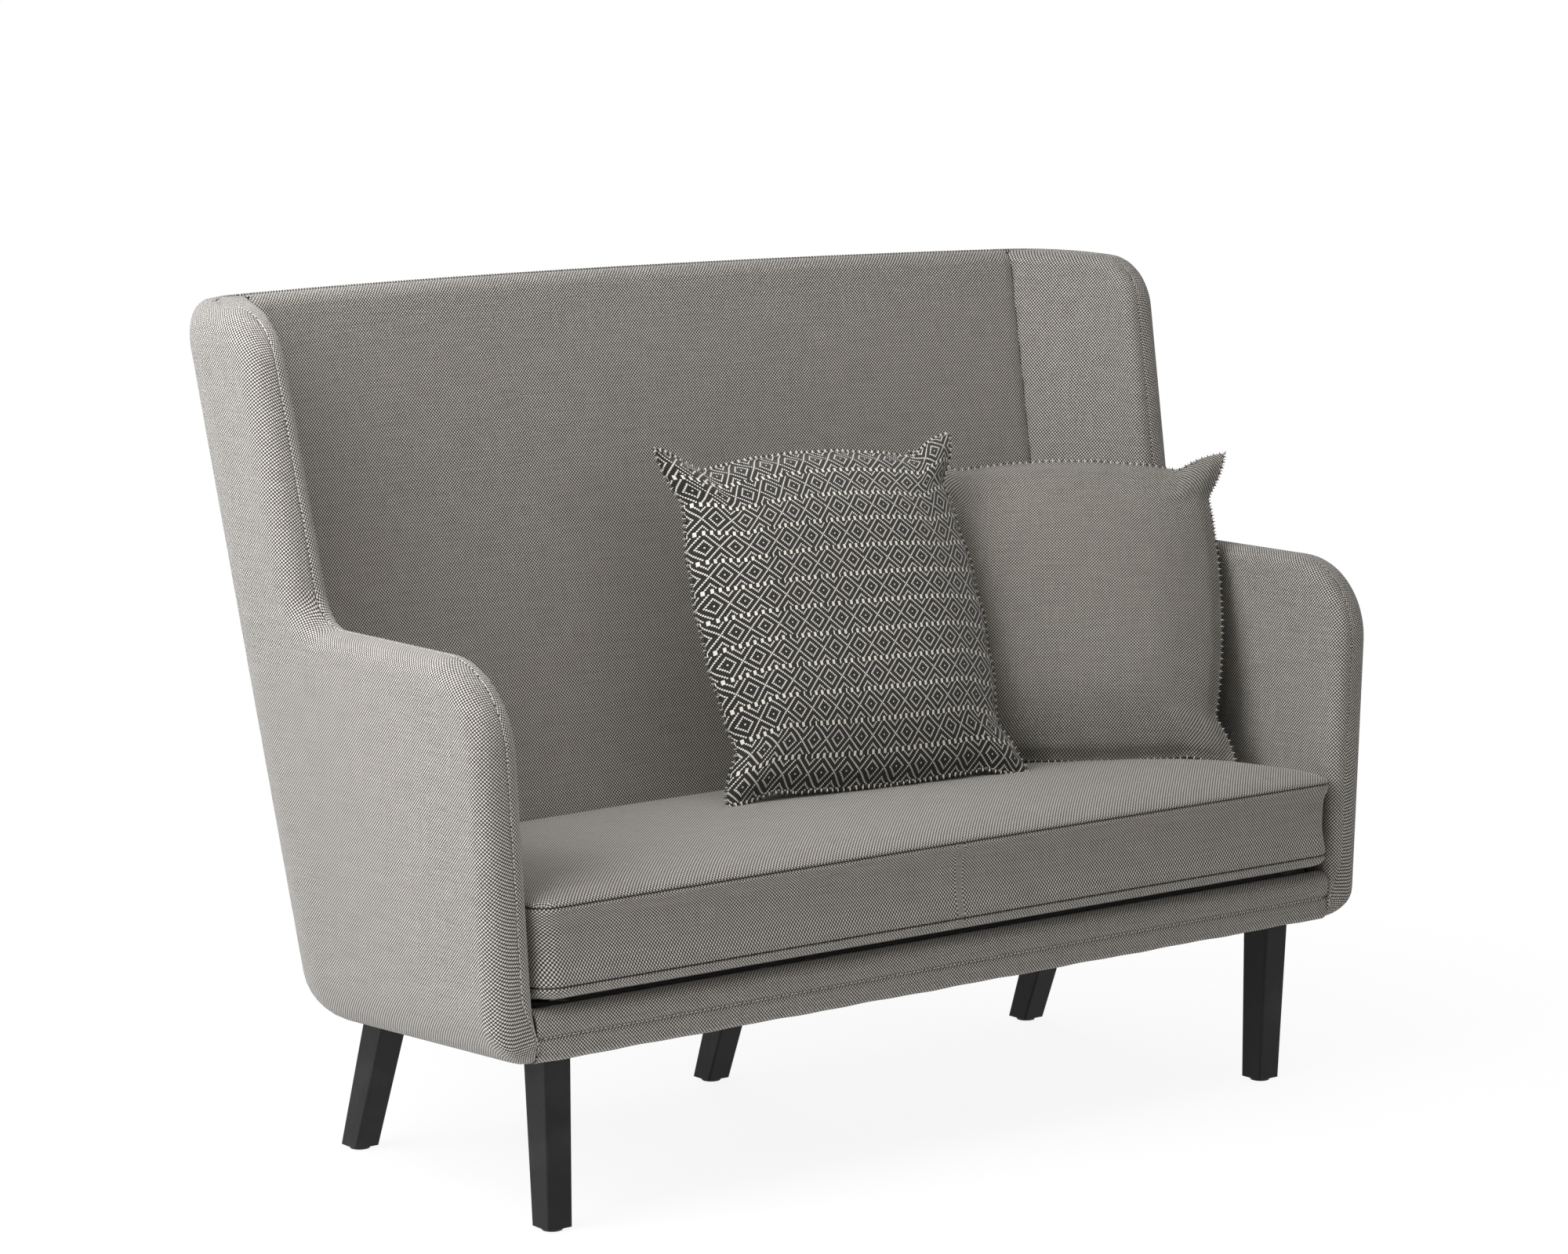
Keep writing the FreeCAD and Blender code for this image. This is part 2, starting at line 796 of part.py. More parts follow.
# Scatter pillows: square, drawn in between the tips, swelling to a crown on both faces
def pillow_ring(side, reach, bow, depth):
    half = side / 2 - reach
    tips = [(-half, -half), (half, -half), (half, half), (-half, half)]
    middles = [(0, -half - bow), (half + bow, 0), (0, half + bow), (-half - bow, 0)]
    edges = []
    for index in range(4):
        start = Vector(tips[index][0], depth, tips[index][1])
        middle = Vector(middles[index][0], depth, middles[index][1])
        end = Vector(tips[(index + 1) % 4][0], depth, tips[(index + 1) % 4][1])
        edges.append(arc(start, middle, end))
    return Part.Wire(edges)


def make_pillow(side, thickness, place, turn, tilt):
    rings = []
    for index in range(pillow_ring_steps, -1, -1):
        step = index / pillow_ring_steps
        depth = pillow_edge_thickness / 2 + (thickness - pillow_edge_thickness) / 2 * sin(radians(90 * step))
        reach = pillow_spread * side / 2 * step ** 2
        bow = -pillow_drawn_in + (pillow_drawn_in + pillow_crown_bow) * step
        rings.append((reach, bow, depth))
    wires = [pillow_ring(side, reach, bow, -depth) for reach, bow, depth in rings]
    wires += [pillow_ring(side, reach, bow, depth) for reach, bow, depth in reversed(rings)]
    pillow = ruled(wires)
    pillow.rotate(Vector(0, 0, 0), Vector(1, 0, 0), -tilt)
    pillow.rotate(Vector(0, 0, 0), Vector(0, 0, 1), turn)
    pillow.translate(Vector(*place))
    return pillow


# Build every piece
pieces = {}

for name, (foot, top) in leg_places.items():
    pieces[name] = make_leg(foot, top)

glides = []
for foot, top in leg_places.values():
    glides.append(Part.makeCylinder(glide_diameter / 2, glide_thickness, Vector(foot.x, foot.y, 0)))
pieces["leg_glides"] = Part.makeCompound(glides)
pieces["leg_plates"] = Part.makeCompound([leg_plate(foot, top) for foot, top in leg_places.values()])
pieces["leg_bolts"] = Part.makeCompound(
    [leg_bolt(foot, top, leg_bolt_diameter / 2) for foot, top in leg_places.values()]
)

side_rail = make_side_rail()
rear_rail = drilled(make_rear_rail())
pieces["base_front_rail"] = drilled(make_front_rail())
pieces["base_rear_rail"] = rear_rail
pieces["base_rail_right"] = side_rail
pieces["base_rail_left"] = mirrored(side_rail)
pieces["base_centre_rail"] = drilled(make_centre_rail())
blocks = [drilled(front_block()), drilled(rear_block(rear_rail))]
pieces["corner_blocks"] = Part.makeCompound(blocks + [mirrored(block) for block in blocks])

panel = make_side_panel()
post = make_corner_post()
pieces["side_panel_right"] = panel
pieces["side_panel_left"] = mirrored(panel)
pieces["corner_post_right"] = post
pieces["corner_post_left"] = mirrored(post)
pieces["frame_bolts"] = make_frame_bolts()

back_post = make_back_post()
lower_rail = back_band(lower_rail_bottom, lower_rail_top)
top_rail = back_band(top_rail_bottom, top_rail_top)
lumbar_band = back_band(lumbar_rail_height, lumbar_rail_height + back_rail_width)
lumbar_rail = lumbar_band.cut(back_post).cut(mirrored(back_post))
pieces["back_post_right"] = back_post
pieces["back_post_left"] = mirrored(back_post)
pieces["back_lower_rail"] = lower_rail
pieces["back_lumbar_rail"] = lumbar_rail
pieces["back_top_rail"] = top_rail

pieces["seat_webbing"] = make_seat_webbing()
pieces["back_webbing"] = make_back_webbing()
pieces["seat_deck"] = make_seat_deck()
pieces["dust_cover"] = make_dust_cover()
pieces["front_rail_cover"] = make_front_rail_cover()

back_frame = Part.makeCompound([back_post, mirrored(back_post), lower_rail, lumbar_rail, top_rail])
bolt_holes = frame_bolt_holes(bolt_clearance)
side_frame = Part.makeCompound([panel, post, *bolt_holes])
outer_side = half_of(outer_wall.cut(back_zone), 1).cut(side_frame)
pieces["outer_side_right"] = outer_side
pieces["outer_side_left"] = mirrored(outer_side)
pieces["outer_back"] = outer_wall.common(back_zone).cut(back_frame)

above_straps = seat_slab(strap_top, 2 * shell_height)
arm_toes = seat_slab(-rail_height, strap_top, front_reach, front_rail_setback)
inner_wall = wall.common(inner_bulk)
inner_rim_skins = [side_faces(outline), upright_faces(space)]


def above_sill(point):
    return not is_low(point)


inner_sides = half_of(inner_wall.cut(back_zone), 1)
inner_sides = fillet_on(inner_sides, inner_rim_radius, inner_rim_skins, above_sill)
inner_right = inner_sides.common(above_straps).fuse(inner_sides.common(arm_toes)).removeSplitter()
pieces["inner_side_right"] = inner_right
pieces["inner_side_left"] = mirrored(inner_right)
inner_back = fillet_on(inner_wall.common(back_zone), inner_rim_radius, inner_rim_skins, above_sill)
pieces["inner_back"] = inner_back.common(above_straps).cut(pieces["back_webbing"])

cushion = make_cushion(0.0)
core = make_cushion(cushion_wadding)
pieces["seat_cushion_cover"] = cushion.cut(core)
pieces["seat_cushion_core"] = core

plain = (plain_pillow_place, plain_pillow_turn, plain_pillow_lean)
plain_filling = make_pillow(
    plain_pillow_side - 4 * pillow_wadding, plain_pillow_thickness - 2 * pillow_wadding, *plain
)
plain_whole = make_pillow(plain_pillow_side, plain_pillow_thickness, *plain)
pieces["plain_pillow_cover"] = plain_whole.cut(plain_filling)
pieces["plain_pillow_filling"] = plain_filling

patterned = (patterned_pillow_place, patterned_pillow_turn, patterned_pillow_lean)
patterned_filling = make_pillow(
    patterned_pillow_side - 4 * pillow_wadding, patterned_pillow_thickness - 2 * pillow_wadding, *patterned
)
patterned_whole = make_pillow(patterned_pillow_side, patterned_pillow_thickness, *patterned)
pieces["patterned_pillow_cover"] = patterned_whole.cut(patterned_filling)
pieces["patterned_pillow_filling"] = patterned_filling

# The origin is the middle of the footprint, on the floor
whole = Part.makeCompound(list(pieces.values())).optimalBoundingBox()
to_origin = Vector(-whole.Center.x, -whole.Center.y, -whole.ZMin)

for name, shape in pieces.items():
    shape.translate(to_origin)
    shape.exportStep("parts/" + name + ".step")
    print(name, len(shape.Solids), shape.isValid(), round(shape.Volume / 1000), "cm3")
print("moved by", [round(value, 3) for value in to_origin])
print("size", round(whole.XLength, 1), round(whole.YLength, 1), round(whole.ZLength, 1))
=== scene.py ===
import json
from collections import namedtuple
from math import cos, hypot, pi, radians, sin, tan

import bmesh
import bpy
import numpy as np
from mathutils import Euler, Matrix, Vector
from mathutils.geometry import delaunay_2d_cdt


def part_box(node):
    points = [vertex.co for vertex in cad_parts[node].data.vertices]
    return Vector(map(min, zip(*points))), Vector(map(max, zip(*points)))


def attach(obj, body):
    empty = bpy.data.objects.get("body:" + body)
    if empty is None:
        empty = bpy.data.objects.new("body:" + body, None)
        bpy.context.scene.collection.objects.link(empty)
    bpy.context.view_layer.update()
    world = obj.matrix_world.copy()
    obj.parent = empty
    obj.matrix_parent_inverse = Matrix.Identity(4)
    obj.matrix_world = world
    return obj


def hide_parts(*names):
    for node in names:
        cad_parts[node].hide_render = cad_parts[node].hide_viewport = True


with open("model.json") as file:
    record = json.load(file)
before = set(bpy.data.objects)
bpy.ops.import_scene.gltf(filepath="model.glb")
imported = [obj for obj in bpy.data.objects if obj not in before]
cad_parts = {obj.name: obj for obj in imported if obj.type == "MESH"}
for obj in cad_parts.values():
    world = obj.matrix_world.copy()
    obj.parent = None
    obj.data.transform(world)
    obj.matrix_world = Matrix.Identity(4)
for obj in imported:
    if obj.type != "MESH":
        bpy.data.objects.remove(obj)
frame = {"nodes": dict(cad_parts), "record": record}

bl_info = {
    "name": "High-back Sofa",
    "version": (1, 0, 0),
    "blender": (4, 5, 0),
    "location": "3D View > Sidebar > Sofa",
    "description": "Dresses a high-back sofa frame with its covers, cushions, stitches and finishes",
    "category": "Object",
}

# Fixed lengths in metres
# The covers are worked out with y = 0 at the foot of the arm fronts, as the frame's sizes are, and the
# wrapped front rail stands a little behind that line
RAIL_SETBACK = 0.003
FRAME_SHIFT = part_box("front_rail_cover")[0][1] - RAIL_SETBACK
# Least gap or width between sewn pieces
FIT = 0.0006
# Thickness of the covers, and of the sheet under the base
CLOTH = 0.0018
LINING = 0.0008
# Least rounding of an edge that is pulled in
LEAST_CORNER = 0.006
# Dip of a rolled edge at its seam, and how far the cloth is turned in under the sill
SEAM_DIP = 0.0022
SILL_LAP = 0.004
# Heights above the underside at which the rim seam ends and the rail's groove runs
SEAM_END = 0.022
RAIL_SEAM = 0.032
# How far the inner cover is drawn in at its crease, over what distance, and the spacing of its points
CREASE_DRAW = 0.0035
CREASE_REACH = 0.011
INNER_STEP = 0.012
# Where the cushion's cloth starts beside a seam, and how deep the seam lies
SEAM_NEAR = 0.0020
SEAM_GROOVE = 0.0056

# Steps of a rolled edge, and points on the arcs and runs of a side's edge from its top rear to its foot
ROLL_STEPS = 8
ARC_COUNTS = (16, 12, 20, 10)
RUN_COUNTS = (34, 40, 26, 54, 80)

# Where an ear starts along a pillow's half side, how it tapers, and how far the side's middle bulges out
EAR_FOOT = 0.70
EAR_TAPER = 1.7
BULGE = 0.52
PILLOW_SIZES = ("side", "rise", "ears", "turn", "lean")


# Properties that a user would change
def length(name, words, default):
    return bpy.props.FloatProperty(name=name, description=words, default=default, unit="LENGTH", precision=4)


def portion(name, words, default):
    return bpy.props.FloatProperty(name=name, description=words, default=default, min=0.0, max=1.0)


def angle(name, words, degrees):
    return bpy.props.FloatProperty(name=name, description=words, default=radians(degrees), subtype="ANGLE")


def colour(name, words, rgb):
    return bpy.props.FloatVectorProperty(
        name=name, description=words, default=(*rgb, 1.0), size=4, min=0.0, max=1.0, subtype="COLOR"
    )


class SofaShape(bpy.types.PropertyGroup):
    underside: length("Underside", "Height of the shell's underside at the arm fronts", 0.225)
    seat_slope: angle("Seat slope", "Fall of the seat towards the back", 3.0)
    base_width: length("Base width", "Width of the shell at its underside", 1.433)
    base_depth: length("Base depth", "Depth of the shell at its underside", 0.5625)
    side_lean: angle("Side lean", "Outward lean of the sides", 3.0)
    back_rake: angle("Back rake", "Backward lean of the back", 13.3)
    back_curve: length("Back curve", "Radius of the back's gentle curve", 3.6)
    rear_corner: length("Rear corner", "Radius of the shell's rear corners", 0.130)
    shell_top: length("Shell height", "Height of the back's top edge", 1.105)
    top_slope: angle("Top slope", "Fall of the wings' top edge towards the front", 1.5)
    arm_top: length("Arm height", "Height of the arms", 0.713)
    arm_lean: angle("Arm front lean", "Lean of the arm fronts", 0.8)
    wing_setback: length("Wing setback", "Distance from arm front to wing at arm height", 0.397)
    wing_lean: angle("Wing lean", "Backward lean of the wing's front edge", 12.0)
    arm_corner: length("Arm corner", "Radius of the arm's front corner", 0.112)
    elbow: length("Elbow", "Radius between arm and wing", 0.055)
    wing_corner: length("Wing corner", "Radius of the wing's top corner", 0.082)
    foot_corner: length("Foot corner", "Radius at the foot of the arm fronts", 0.030)
    rim: length("Rim radius", "Outer rounding of the rims", 0.028)
    inner_rim: length("Inner rim radius", "Inner rounding of the rims", 0.017)
    sill: length("Sill radius", "Rounding of the lower edge", 0.060)
    back_rim_drop: length("Back rim drop", "Height of the soft rounding behind the back's top", 0.088)
    back_rim_depth: length("Back rim depth", "Depth of the soft rounding behind the back's top", 0.036)
    wall: length("Wall", "Thickness of the padded wall", 0.060)
    seam_depth: length("Seam depth", "Distance of the rim seam from the outside", 0.040)
    crease_inset: length("Crease inset", "Distance of the inner crease from the side", 0.128)
    slant_run: length("Slant run", "Depth over which the wing slants to the crease", 0.140)
    deck_top: length("Deck height", "Height of the seat deck above the underside", 0.0695)


class CushionShape(bpy.types.PropertyGroup):
    overhang: length("Overhang", "How far the cushion stands in front of the arms", 0.009)
    low_seam: length("Lower seam", "Height of the lower seam above the deck", 0.024)
    high_seam: length("Upper seam", "Height of the upper seam above the deck", 0.122)
    crown: length("Crown", "Rise of the cushion's top above the upper seam", 0.028)
    spread: length("Crown spread", "Distance from the edge to the level part of the top", 0.190)
    gap: length("Gap", "Gap between the cushion and the upholstery", 0.004)
    front_corner: length("Front corner", "Radius of the cushion's front corners", 0.028)
    foot_inset: length("Foot inset", "How far the bottom is pulled in under the lower seam", 0.022)
    foot_lift: length("Foot lift", "How far the bottom's edge stands above the deck", 0.004)
    pillow_thickness: length("Pillow thickness", "Thickness of a scatter pillow", 0.114)
    plain_side: length("Plain pillow side", "Tip to tip width of the plain pillow", 0.446)
    plain_rise: length("Plain pillow rise", "How much taller than wide it is", 0.004)
    plain_ears: portion("Plain pillow ears", "How far its sides are drawn in", 0.115)
    plain_turn: angle("Plain pillow turn", "Its turn about the upright", -36.0)
    plain_lean: angle("Plain pillow lean", "Its backward lean", 22.0)
    patterned_side: length("Patterned pillow side", "Tip to tip width of the patterned pillow", 0.474)
    patterned_rise: length("Patterned pillow rise", "How much taller than wide it is", 0.022)
    patterned_ears: portion("Patterned pillow ears", "How far its sides are drawn in", 0.130)
    patterned_turn: angle("Patterned pillow turn", "Its turn about the upright", -8.0)
    patterned_lean: angle("Patterned pillow lean", "Its backward lean", 24.5)


class SofaFinish(bpy.types.PropertyGroup):
    weave_cell: length("Weave cell", "Size of one cell of the basket weave", 0.00235)
    light_thread: colour("Light thread", "Light thread of the basket weave", (0.43, 0.408, 0.368))
    pillow_light: colour("Pillow thread", "Light thread of the plain pillow", (0.355, 0.339, 0.297))
    dark_thread: colour("Dark thread", "Dark thread of the basket weave", (0.026, 0.021, 0.018))
    stitch_light: colour("Light stitch", "Thread of the seams", (0.62, 0.59, 0.54))
    stitch_dark: colour("Dark stitch", "Thread of the pillow edges", (0.030, 0.026, 0.024))
    motif: length("Motif", "Size of one motif of the patterned pillow", 0.042)
    pattern_light: colour("Pattern light", "Light colour of the patterned pillow", (0.76, 0.715, 0.62))
    pattern_dark: colour("Pattern dark", "Dark colour of the patterned pillow", (0.020, 0.019, 0.019))
    lacquer: colour("Leg lacquer", "Black lacquer of the legs", (0.012, 0.0115, 0.0115))
    timber: colour("Frame timber", "Solid timber of the hidden frame", (0.46, 0.30, 0.16))
    floor: colour("Floor", "Colour of the studio floor", (0.88, 0.88, 0.88))


# Small helpers for meshes
def polygon_distance(points, ring):
    """Distance of each point from a closed ring."""
    ring = np.asarray(ring)
    nearest = np.full(len(points), 1e9)
    for start, end in zip(ring, np.roll(ring, -1, axis=0)):
        run = end - start
        share = np.clip(((points - start) @ run) / max(run @ run, 1e-12), 0, 1)
        nearest = np.minimum(nearest, np.linalg.norm(points - start - share[:, None] * run, axis=1))
    return nearest


def inside_polygon(points, ring):
    """Which points lie within a closed ring."""
    ring = np.asarray(ring)
    inside = np.zeros(len(points), bool)
    for start, end in zip(ring, np.roll(ring, -1, axis=0)):
        spans = (start[1] > points[:, 1]) != (end[1] > points[:, 1])
        rise = end[1] - start[1]
        crossing_x = start[0] + (points[:, 1] - start[1]) * (end[0] - start[0]) / (rise if rise else 1e-12)
        inside ^= spans & (points[:, 0] < crossing_x)
    return inside


def filled(ring, spacing):
    """Triangles that fill a closed 2-D ring, with inner points on a grid: (points, faces)."""
    ring = np.asarray(ring, float)
    low = ring.min(axis=0)
    high = ring.max(axis=0)
    columns = np.arange(low[0] + spacing / 2, high[0], spacing)
    rows = np.arange(low[1] + spacing / 2, high[1], spacing)
    grid = np.stack(np.meshgrid(columns, rows), -1).reshape(-1, 2)
    grid = grid[inside_polygon(grid, ring)]
    grid = grid[polygon_distance(grid, ring) > 0.45 * spacing]
    count = len(ring)
    points = [Vector(point) for point in np.vstack([ring, grid])]
    found = delaunay_2d_cdt(points, [], [list(range(count))], 1, 1e-7)
    return np.array([tuple(point) for point in found[0]]), [list(face) for face in found[2]]


def run_lengths(points):
    """Distance along a polyline at each of its points."""
    steps = np.linalg.norm(np.diff(points, axis=0), axis=1)
    return np.concatenate([[0], np.cumsum(steps)])


def resampled(points, spacing, closed=False):
    """Points at an even spacing along a polyline."""
    points = np.asarray(points, float)
    if closed:
        points = np.vstack([points, points[:1]])
    reach = run_lengths(points)
    count = max(2, int(round(reach[-1] / spacing)))
    wanted = np.linspace(0, reach[-1], count + 1)
    if closed:
        wanted = wanted[:-1]
    return np.stack([np.interp(wanted, reach, points[:, axis]) for axis in range(points.shape[1])], -1)


def corner_arc(before, here, after, radius, count):
    """Points of the arc that rounds a corner."""
    back = np.subtract(before, here)
    ahead = np.subtract(after, here)
    back = back / np.linalg.norm(back)
    ahead = ahead / np.linalg.norm(ahead)
    half = np.arccos(np.clip(back @ ahead, -1, 1)) / 2
    inward = (back + ahead) / np.linalg.norm(back + ahead)
    centre = np.array(here) + inward * radius / sin(half)
    start = np.array(here) + back * radius / tan(half) - centre
    end = np.array(here) + ahead * radius / tan(half) - centre
    turn = np.arctan2(start[0] * end[1] - start[1] * end[0], start @ end)
    shares = np.linspace(0, turn, count + 1)
    x = start[0] * np.cos(shares) - start[1] * np.sin(shares)
    y = start[0] * np.sin(shares) + start[1] * np.cos(shares)
    return centre + np.stack([x, y], -1)


def rounded_path(corners, arc_counts, run_counts):
    """Polyline through corners (a, b, radius) with set numbers of points, so that two paths pair up."""
    places = [np.array(corner[:2], float) for corner in corners]
    pieces = [places[0][None, :]]
    for index in range(1, len(corners) - 1):
        pieces.append(corner_arc(places[index - 1], places[index], places[index + 1],
                                 corners[index][2], arc_counts[index - 1]))
    pieces.append(places[-1][None, :])
    path = [pieces[0]]
    for before, after, count in zip(pieces, pieces[1:], run_counts):
        shares = np.linspace(0, 1, count + 2)[1:-1, None]
        path.append(before[-1] + (after[0] - before[-1]) * shares)
        path.append(after)
    return np.vstack(path)


def outward(path):
    """Unit normals to the right of a 2-D path's direction."""
    along = np.gradient(path, axis=0)
    along /= np.linalg.norm(along, axis=1)[:, None]
    return np.stack([along[:, 1], -along[:, 0]], -1)


def strip_faces(count, rings, closed=False):
    """Quads between rings of count points each."""
    faces = []
    spans = count if closed else count - 1
    for ring in range(rings - 1):
        for index in range(spans):
            after = (index + 1) % count
            faces.append([ring * count + index, ring * count + after,
                          (ring + 1) * count + after, (ring + 1) * count + index])
    return faces


def sheet_part(rows, uvs):
    """One (points, uvs, faces) from rows of points, each joined to the next."""
    return np.vstack(rows), np.vstack(uvs), strip_faces(len(rows[0]), len(rows))


def joined(parts):
    """One (points, uvs, faces) from several."""
    points = []
    uvs = []
    faces = []
    for part_points, part_uvs, part_faces in parts:
        start = sum(len(block) for block in points)
        points.append(np.asarray(part_points))
        uvs.append(np.asarray(part_uvs))
        faces += [[start + index for index in face] for face in part_faces]
    return np.vstack(points), np.vstack(uvs), faces


def make_piece(name, parts, material, facing, mirror=False):
    """Mesh object from (points, uvs, faces) parts.

    facing is 1 where the faces look away from the sofa's middle and -1 where they look towards it.
    """
    points, uvs, faces = joined(parts)
    points = points.copy()
    points[:, 1] += FRAME_SHIFT
    if mirror:
        points[:, 0] *= -1
    mesh = bpy.data.meshes.new(name)
    mesh.from_pydata([tuple(point) for point in points], [], faces)
    layer = mesh.uv_layers.new(name="Cloth")
    corners = np.empty(len(mesh.loops), np.int32)
    mesh.loops.foreach_get("vertex_index", corners)
    layer.data.foreach_set("uv", uvs[corners].astype(np.float32).ravel())
    body = bmesh.new()
    body.from_mesh(mesh)
    bmesh.ops.remove_doubles(body, verts=body.verts, dist=2e-5)
    bmesh.ops.recalc_face_normals(body, faces=body.faces)
    middle = Vector((0, -0.05, 0.62))
    lean = sum(face.normal.dot(face.calc_center_median() - middle) * face.calc_area() for face in body.faces)
    if lean * facing < 0:
        bmesh.ops.reverse_faces(body, faces=body.faces)
    body.to_mesh(mesh)
    body.free()
    mesh.materials.append(material)
    mesh.polygons.foreach_set("use_smooth", [True] * len(mesh.polygons))
    piece = bpy.data.objects.new(name, mesh)
    bpy.context.scene.collection.objects.link(piece)
    return piece


def thickened(piece, amount):
    """Give an open cover the thickness of its cloth and wadding, inwards."""
    wall = piece.modifiers.new("Cloth and wadding", "SOLIDIFY")
    wall.thickness = amount
    wall.offset = -1.0
    return piece


def baked(piece):
    """The piece with its modifiers applied to its mesh."""
    seen = piece.evaluated_get(bpy.context.evaluated_depsgraph_get())
    mesh = bpy.data.meshes.new_from_object(seen)
    piece.modifiers.clear()
    old = piece.data
    piece.data = mesh
    bpy.data.meshes.remove(old)
    return piece


# The shell's form
def half_width(shape, z):
    return shape.base_width / 2 + (z - shape.underside) * tan(shape.side_lean)


def back_place(shape, x, z, depth):
    """y of the back at a depth from its outside."""
    reach = shape.back_curve - depth
    out = np.sqrt(reach ** 2 - x ** 2) - shape.back_curve
    return shape.base_depth + (out + (z - shape.underside) * sin(shape.back_rake)) / cos(shape.back_rake)


def underside_at(shape, y):
    return shape.underside - y * tan(shape.seat_slope)


RearCorner = namedtuple("RearCorner", "centre_x centre_y end end_x stretch")


def corner_facts(shape, z):
    """The rounded rear corner at a level: its centre, the angle and x of its end, its stretch along y."""
    radius = shape.rear_corner
    centre_x = half_width(shape, z) - radius
    centre_y = back_place(shape, centre_x, z, radius)
    end = pi / 2 - np.arcsin(centre_x / (shape.back_curve - radius))
    end_x = centre_x + radius * np.cos(end)
    stretch = (back_place(shape, end_x, z, 0.0) - centre_y) / (radius * np.sin(end))
    return RearCorner(centre_x, centre_y, end, end_x, stretch)


def side_place(shape, along, z, depth):
    """Point of the outer side, or of the rear corner and back after it, at a depth from the outside."""
    radius = shape.rear_corner
    corner = corner_facts(shape, z)
    turn = np.clip((along - corner.centre_y) / radius, 0, corner.end)
    past = np.maximum(along - corner.centre_y - radius * corner.end, 0)
    x = corner.centre_x + (radius - depth) * np.cos(turn) - past
    bent = corner.centre_y + (radius - depth) * corner.stretch * np.sin(turn)
    y = np.where(along < corner.centre_y, along, bent)
    y = np.where(past > 0, back_place(shape, x, z, depth), y)
    return np.stack([x, y, z + np.zeros_like(x)], -1)


def back_seam(shape, z):
    """Sheet distance at which the rear corner ends and the outer back begins."""
    corner = corner_facts(shape, z)
    return corner.centre_y + shape.rear_corner * corner.end


def crease_y(shape, z):
    """y of the crease between the inner side and the inner back."""
    reach = shape.back_curve - shape.wall
    x = shape.base_width / 2 - shape.crease_inset
    apex = shape.base_depth - shape.wall / cos(shape.back_rake)
    return apex - reach + np.sqrt(reach ** 2 - x ** 2) + (z - shape.underside) * tan(shape.back_rake)


def inner_depth(shape, y, z):
    """Depth of the inner side from the outside: the wall, then the slant to the crease with a soft bend."""
    slope = (shape.crease_inset - shape.wall) / shape.slant_run
    bend = 0.034
    past = y - (crease_y(shape, z) - shape.slant_run)
    soft = np.where(past < -bend, 0.0, np.where(past > bend, past, (past + bend) ** 2 / (4 * bend)))
    return shape.wall + slope * soft


def inner_place(shape, y, z, depth):
    return np.stack([half_width(shape, z) - depth, y, z], -1)


def crossing(first, second):
    """Point where two side-view lines cross."""
    (y, z), (dy, dz) = first
    (other_y, other_z), (other_dy, other_dz) = second
    along = ((other_y - y) * -other_dz + other_dy * (other_z - z)) / (dy * -other_dz + other_dy * dz)
    return (y + along * dy, z + along * dz)


def side_lines(shape):
    """Lines of the side view, each a point and a direction: top, wing, arm, front and foot."""
    rear = shape.base_depth + (shape.shell_top - shape.underside) * tan(shape.back_rake)
    return {
        "top": ((rear, shape.shell_top), (-cos(shape.top_slope), -sin(shape.top_slope))),
        "wing": ((shape.wing_setback, shape.arm_top), (-sin(shape.wing_lean), -cos(shape.wing_lean))),
        "arm": ((0.0, shape.arm_top), (-1.0, 0.0)),
        "front": ((0.0, shape.underside), (-sin(shape.arm_lean), -cos(shape.arm_lean))),
        "foot": ((0.0, shape.underside), (cos(shape.seat_slope), -sin(shape.seat_slope))),
    }


def moved_in(line, distance):
    """A side-view line moved to its left, which is into the shell."""
    (y, z), (dy, dz) = line
    return ((y - dz * distance, z + dy * distance), (dy, dz))


def rim_path(shape, start, finish, inset=0.0, foot_inset=None):
    """Edge of the side from its top rear, round wing, elbow and arm, pulled in by an inset.

    With a foot inset it goes on round the foot of the arm front.
    """
    lines = {name: moved_in(line, inset) for name, line in side_lines(shape).items()}
    corners = [
        (*start, 0),
        (*crossing(lines["top"], lines["wing"]), max(shape.wing_corner - inset, LEAST_CORNER)),
        (*crossing(lines["wing"], lines["arm"]), shape.elbow + inset),
        (*crossing(lines["arm"], lines["front"]), max(shape.arm_corner - inset, LEAST_CORNER)),
    ]
    if foot_inset is not None:
        foot = moved_in(side_lines(shape)["foot"], foot_inset)
        corners.append((*crossing(lines["front"], foot), max(shape.foot_corner - inset, LEAST_CORNER)))
    corners.append((*finish, 0))
    return rounded_path(corners, ARC_COUNTS, RUN_COUNTS)


def seam_depth_at(shape, z):
    """Depth of the rim seam: even along the rim, then running inwards at the arm's foot."""
    turn_start = shape.underside + 0.090
    turn_end = shape.underside + SEAM_END
    slack = 0.0005
    share = eased((turn_start - z) / (turn_start - turn_end))
    return shape.seam_depth + (shape.wall - slack - shape.seam_depth) * share


def rim_seam_depth(shape, y, z):
    """Depth of the rim seam from the side's plane, following the rounded rear corner near the crease."""
    corner = corner_facts(shape, z)
    inside = shape.rear_corner - shape.seam_depth
    past = np.clip((y - corner.centre_y) / corner.stretch, 0, 0.98 * inside)
    at_corner = shape.rear_corner - np.sqrt(inside ** 2 - past ** 2)
    return np.where(z > shape.arm_top / 2, at_corner, seam_depth_at(shape, z))


def top_level_at(shape, y):
    """Height of the top edge at a depth y."""
    rear, level = side_lines(shape)["top"][0]
    return level - (rear - y) * tan(shape.top_slope)


def top_edge(shape, x):
    """Height of the back's top edge at x from the middle."""
    return top_level_at(shape, back_place(shape, x, shape.shell_top, 0.0))


def eased(share):
    """A share from 0 to 1 with a soft start and end."""
    share = np.clip(share, 0, 1)
    return share * share * (3 - 2 * share)


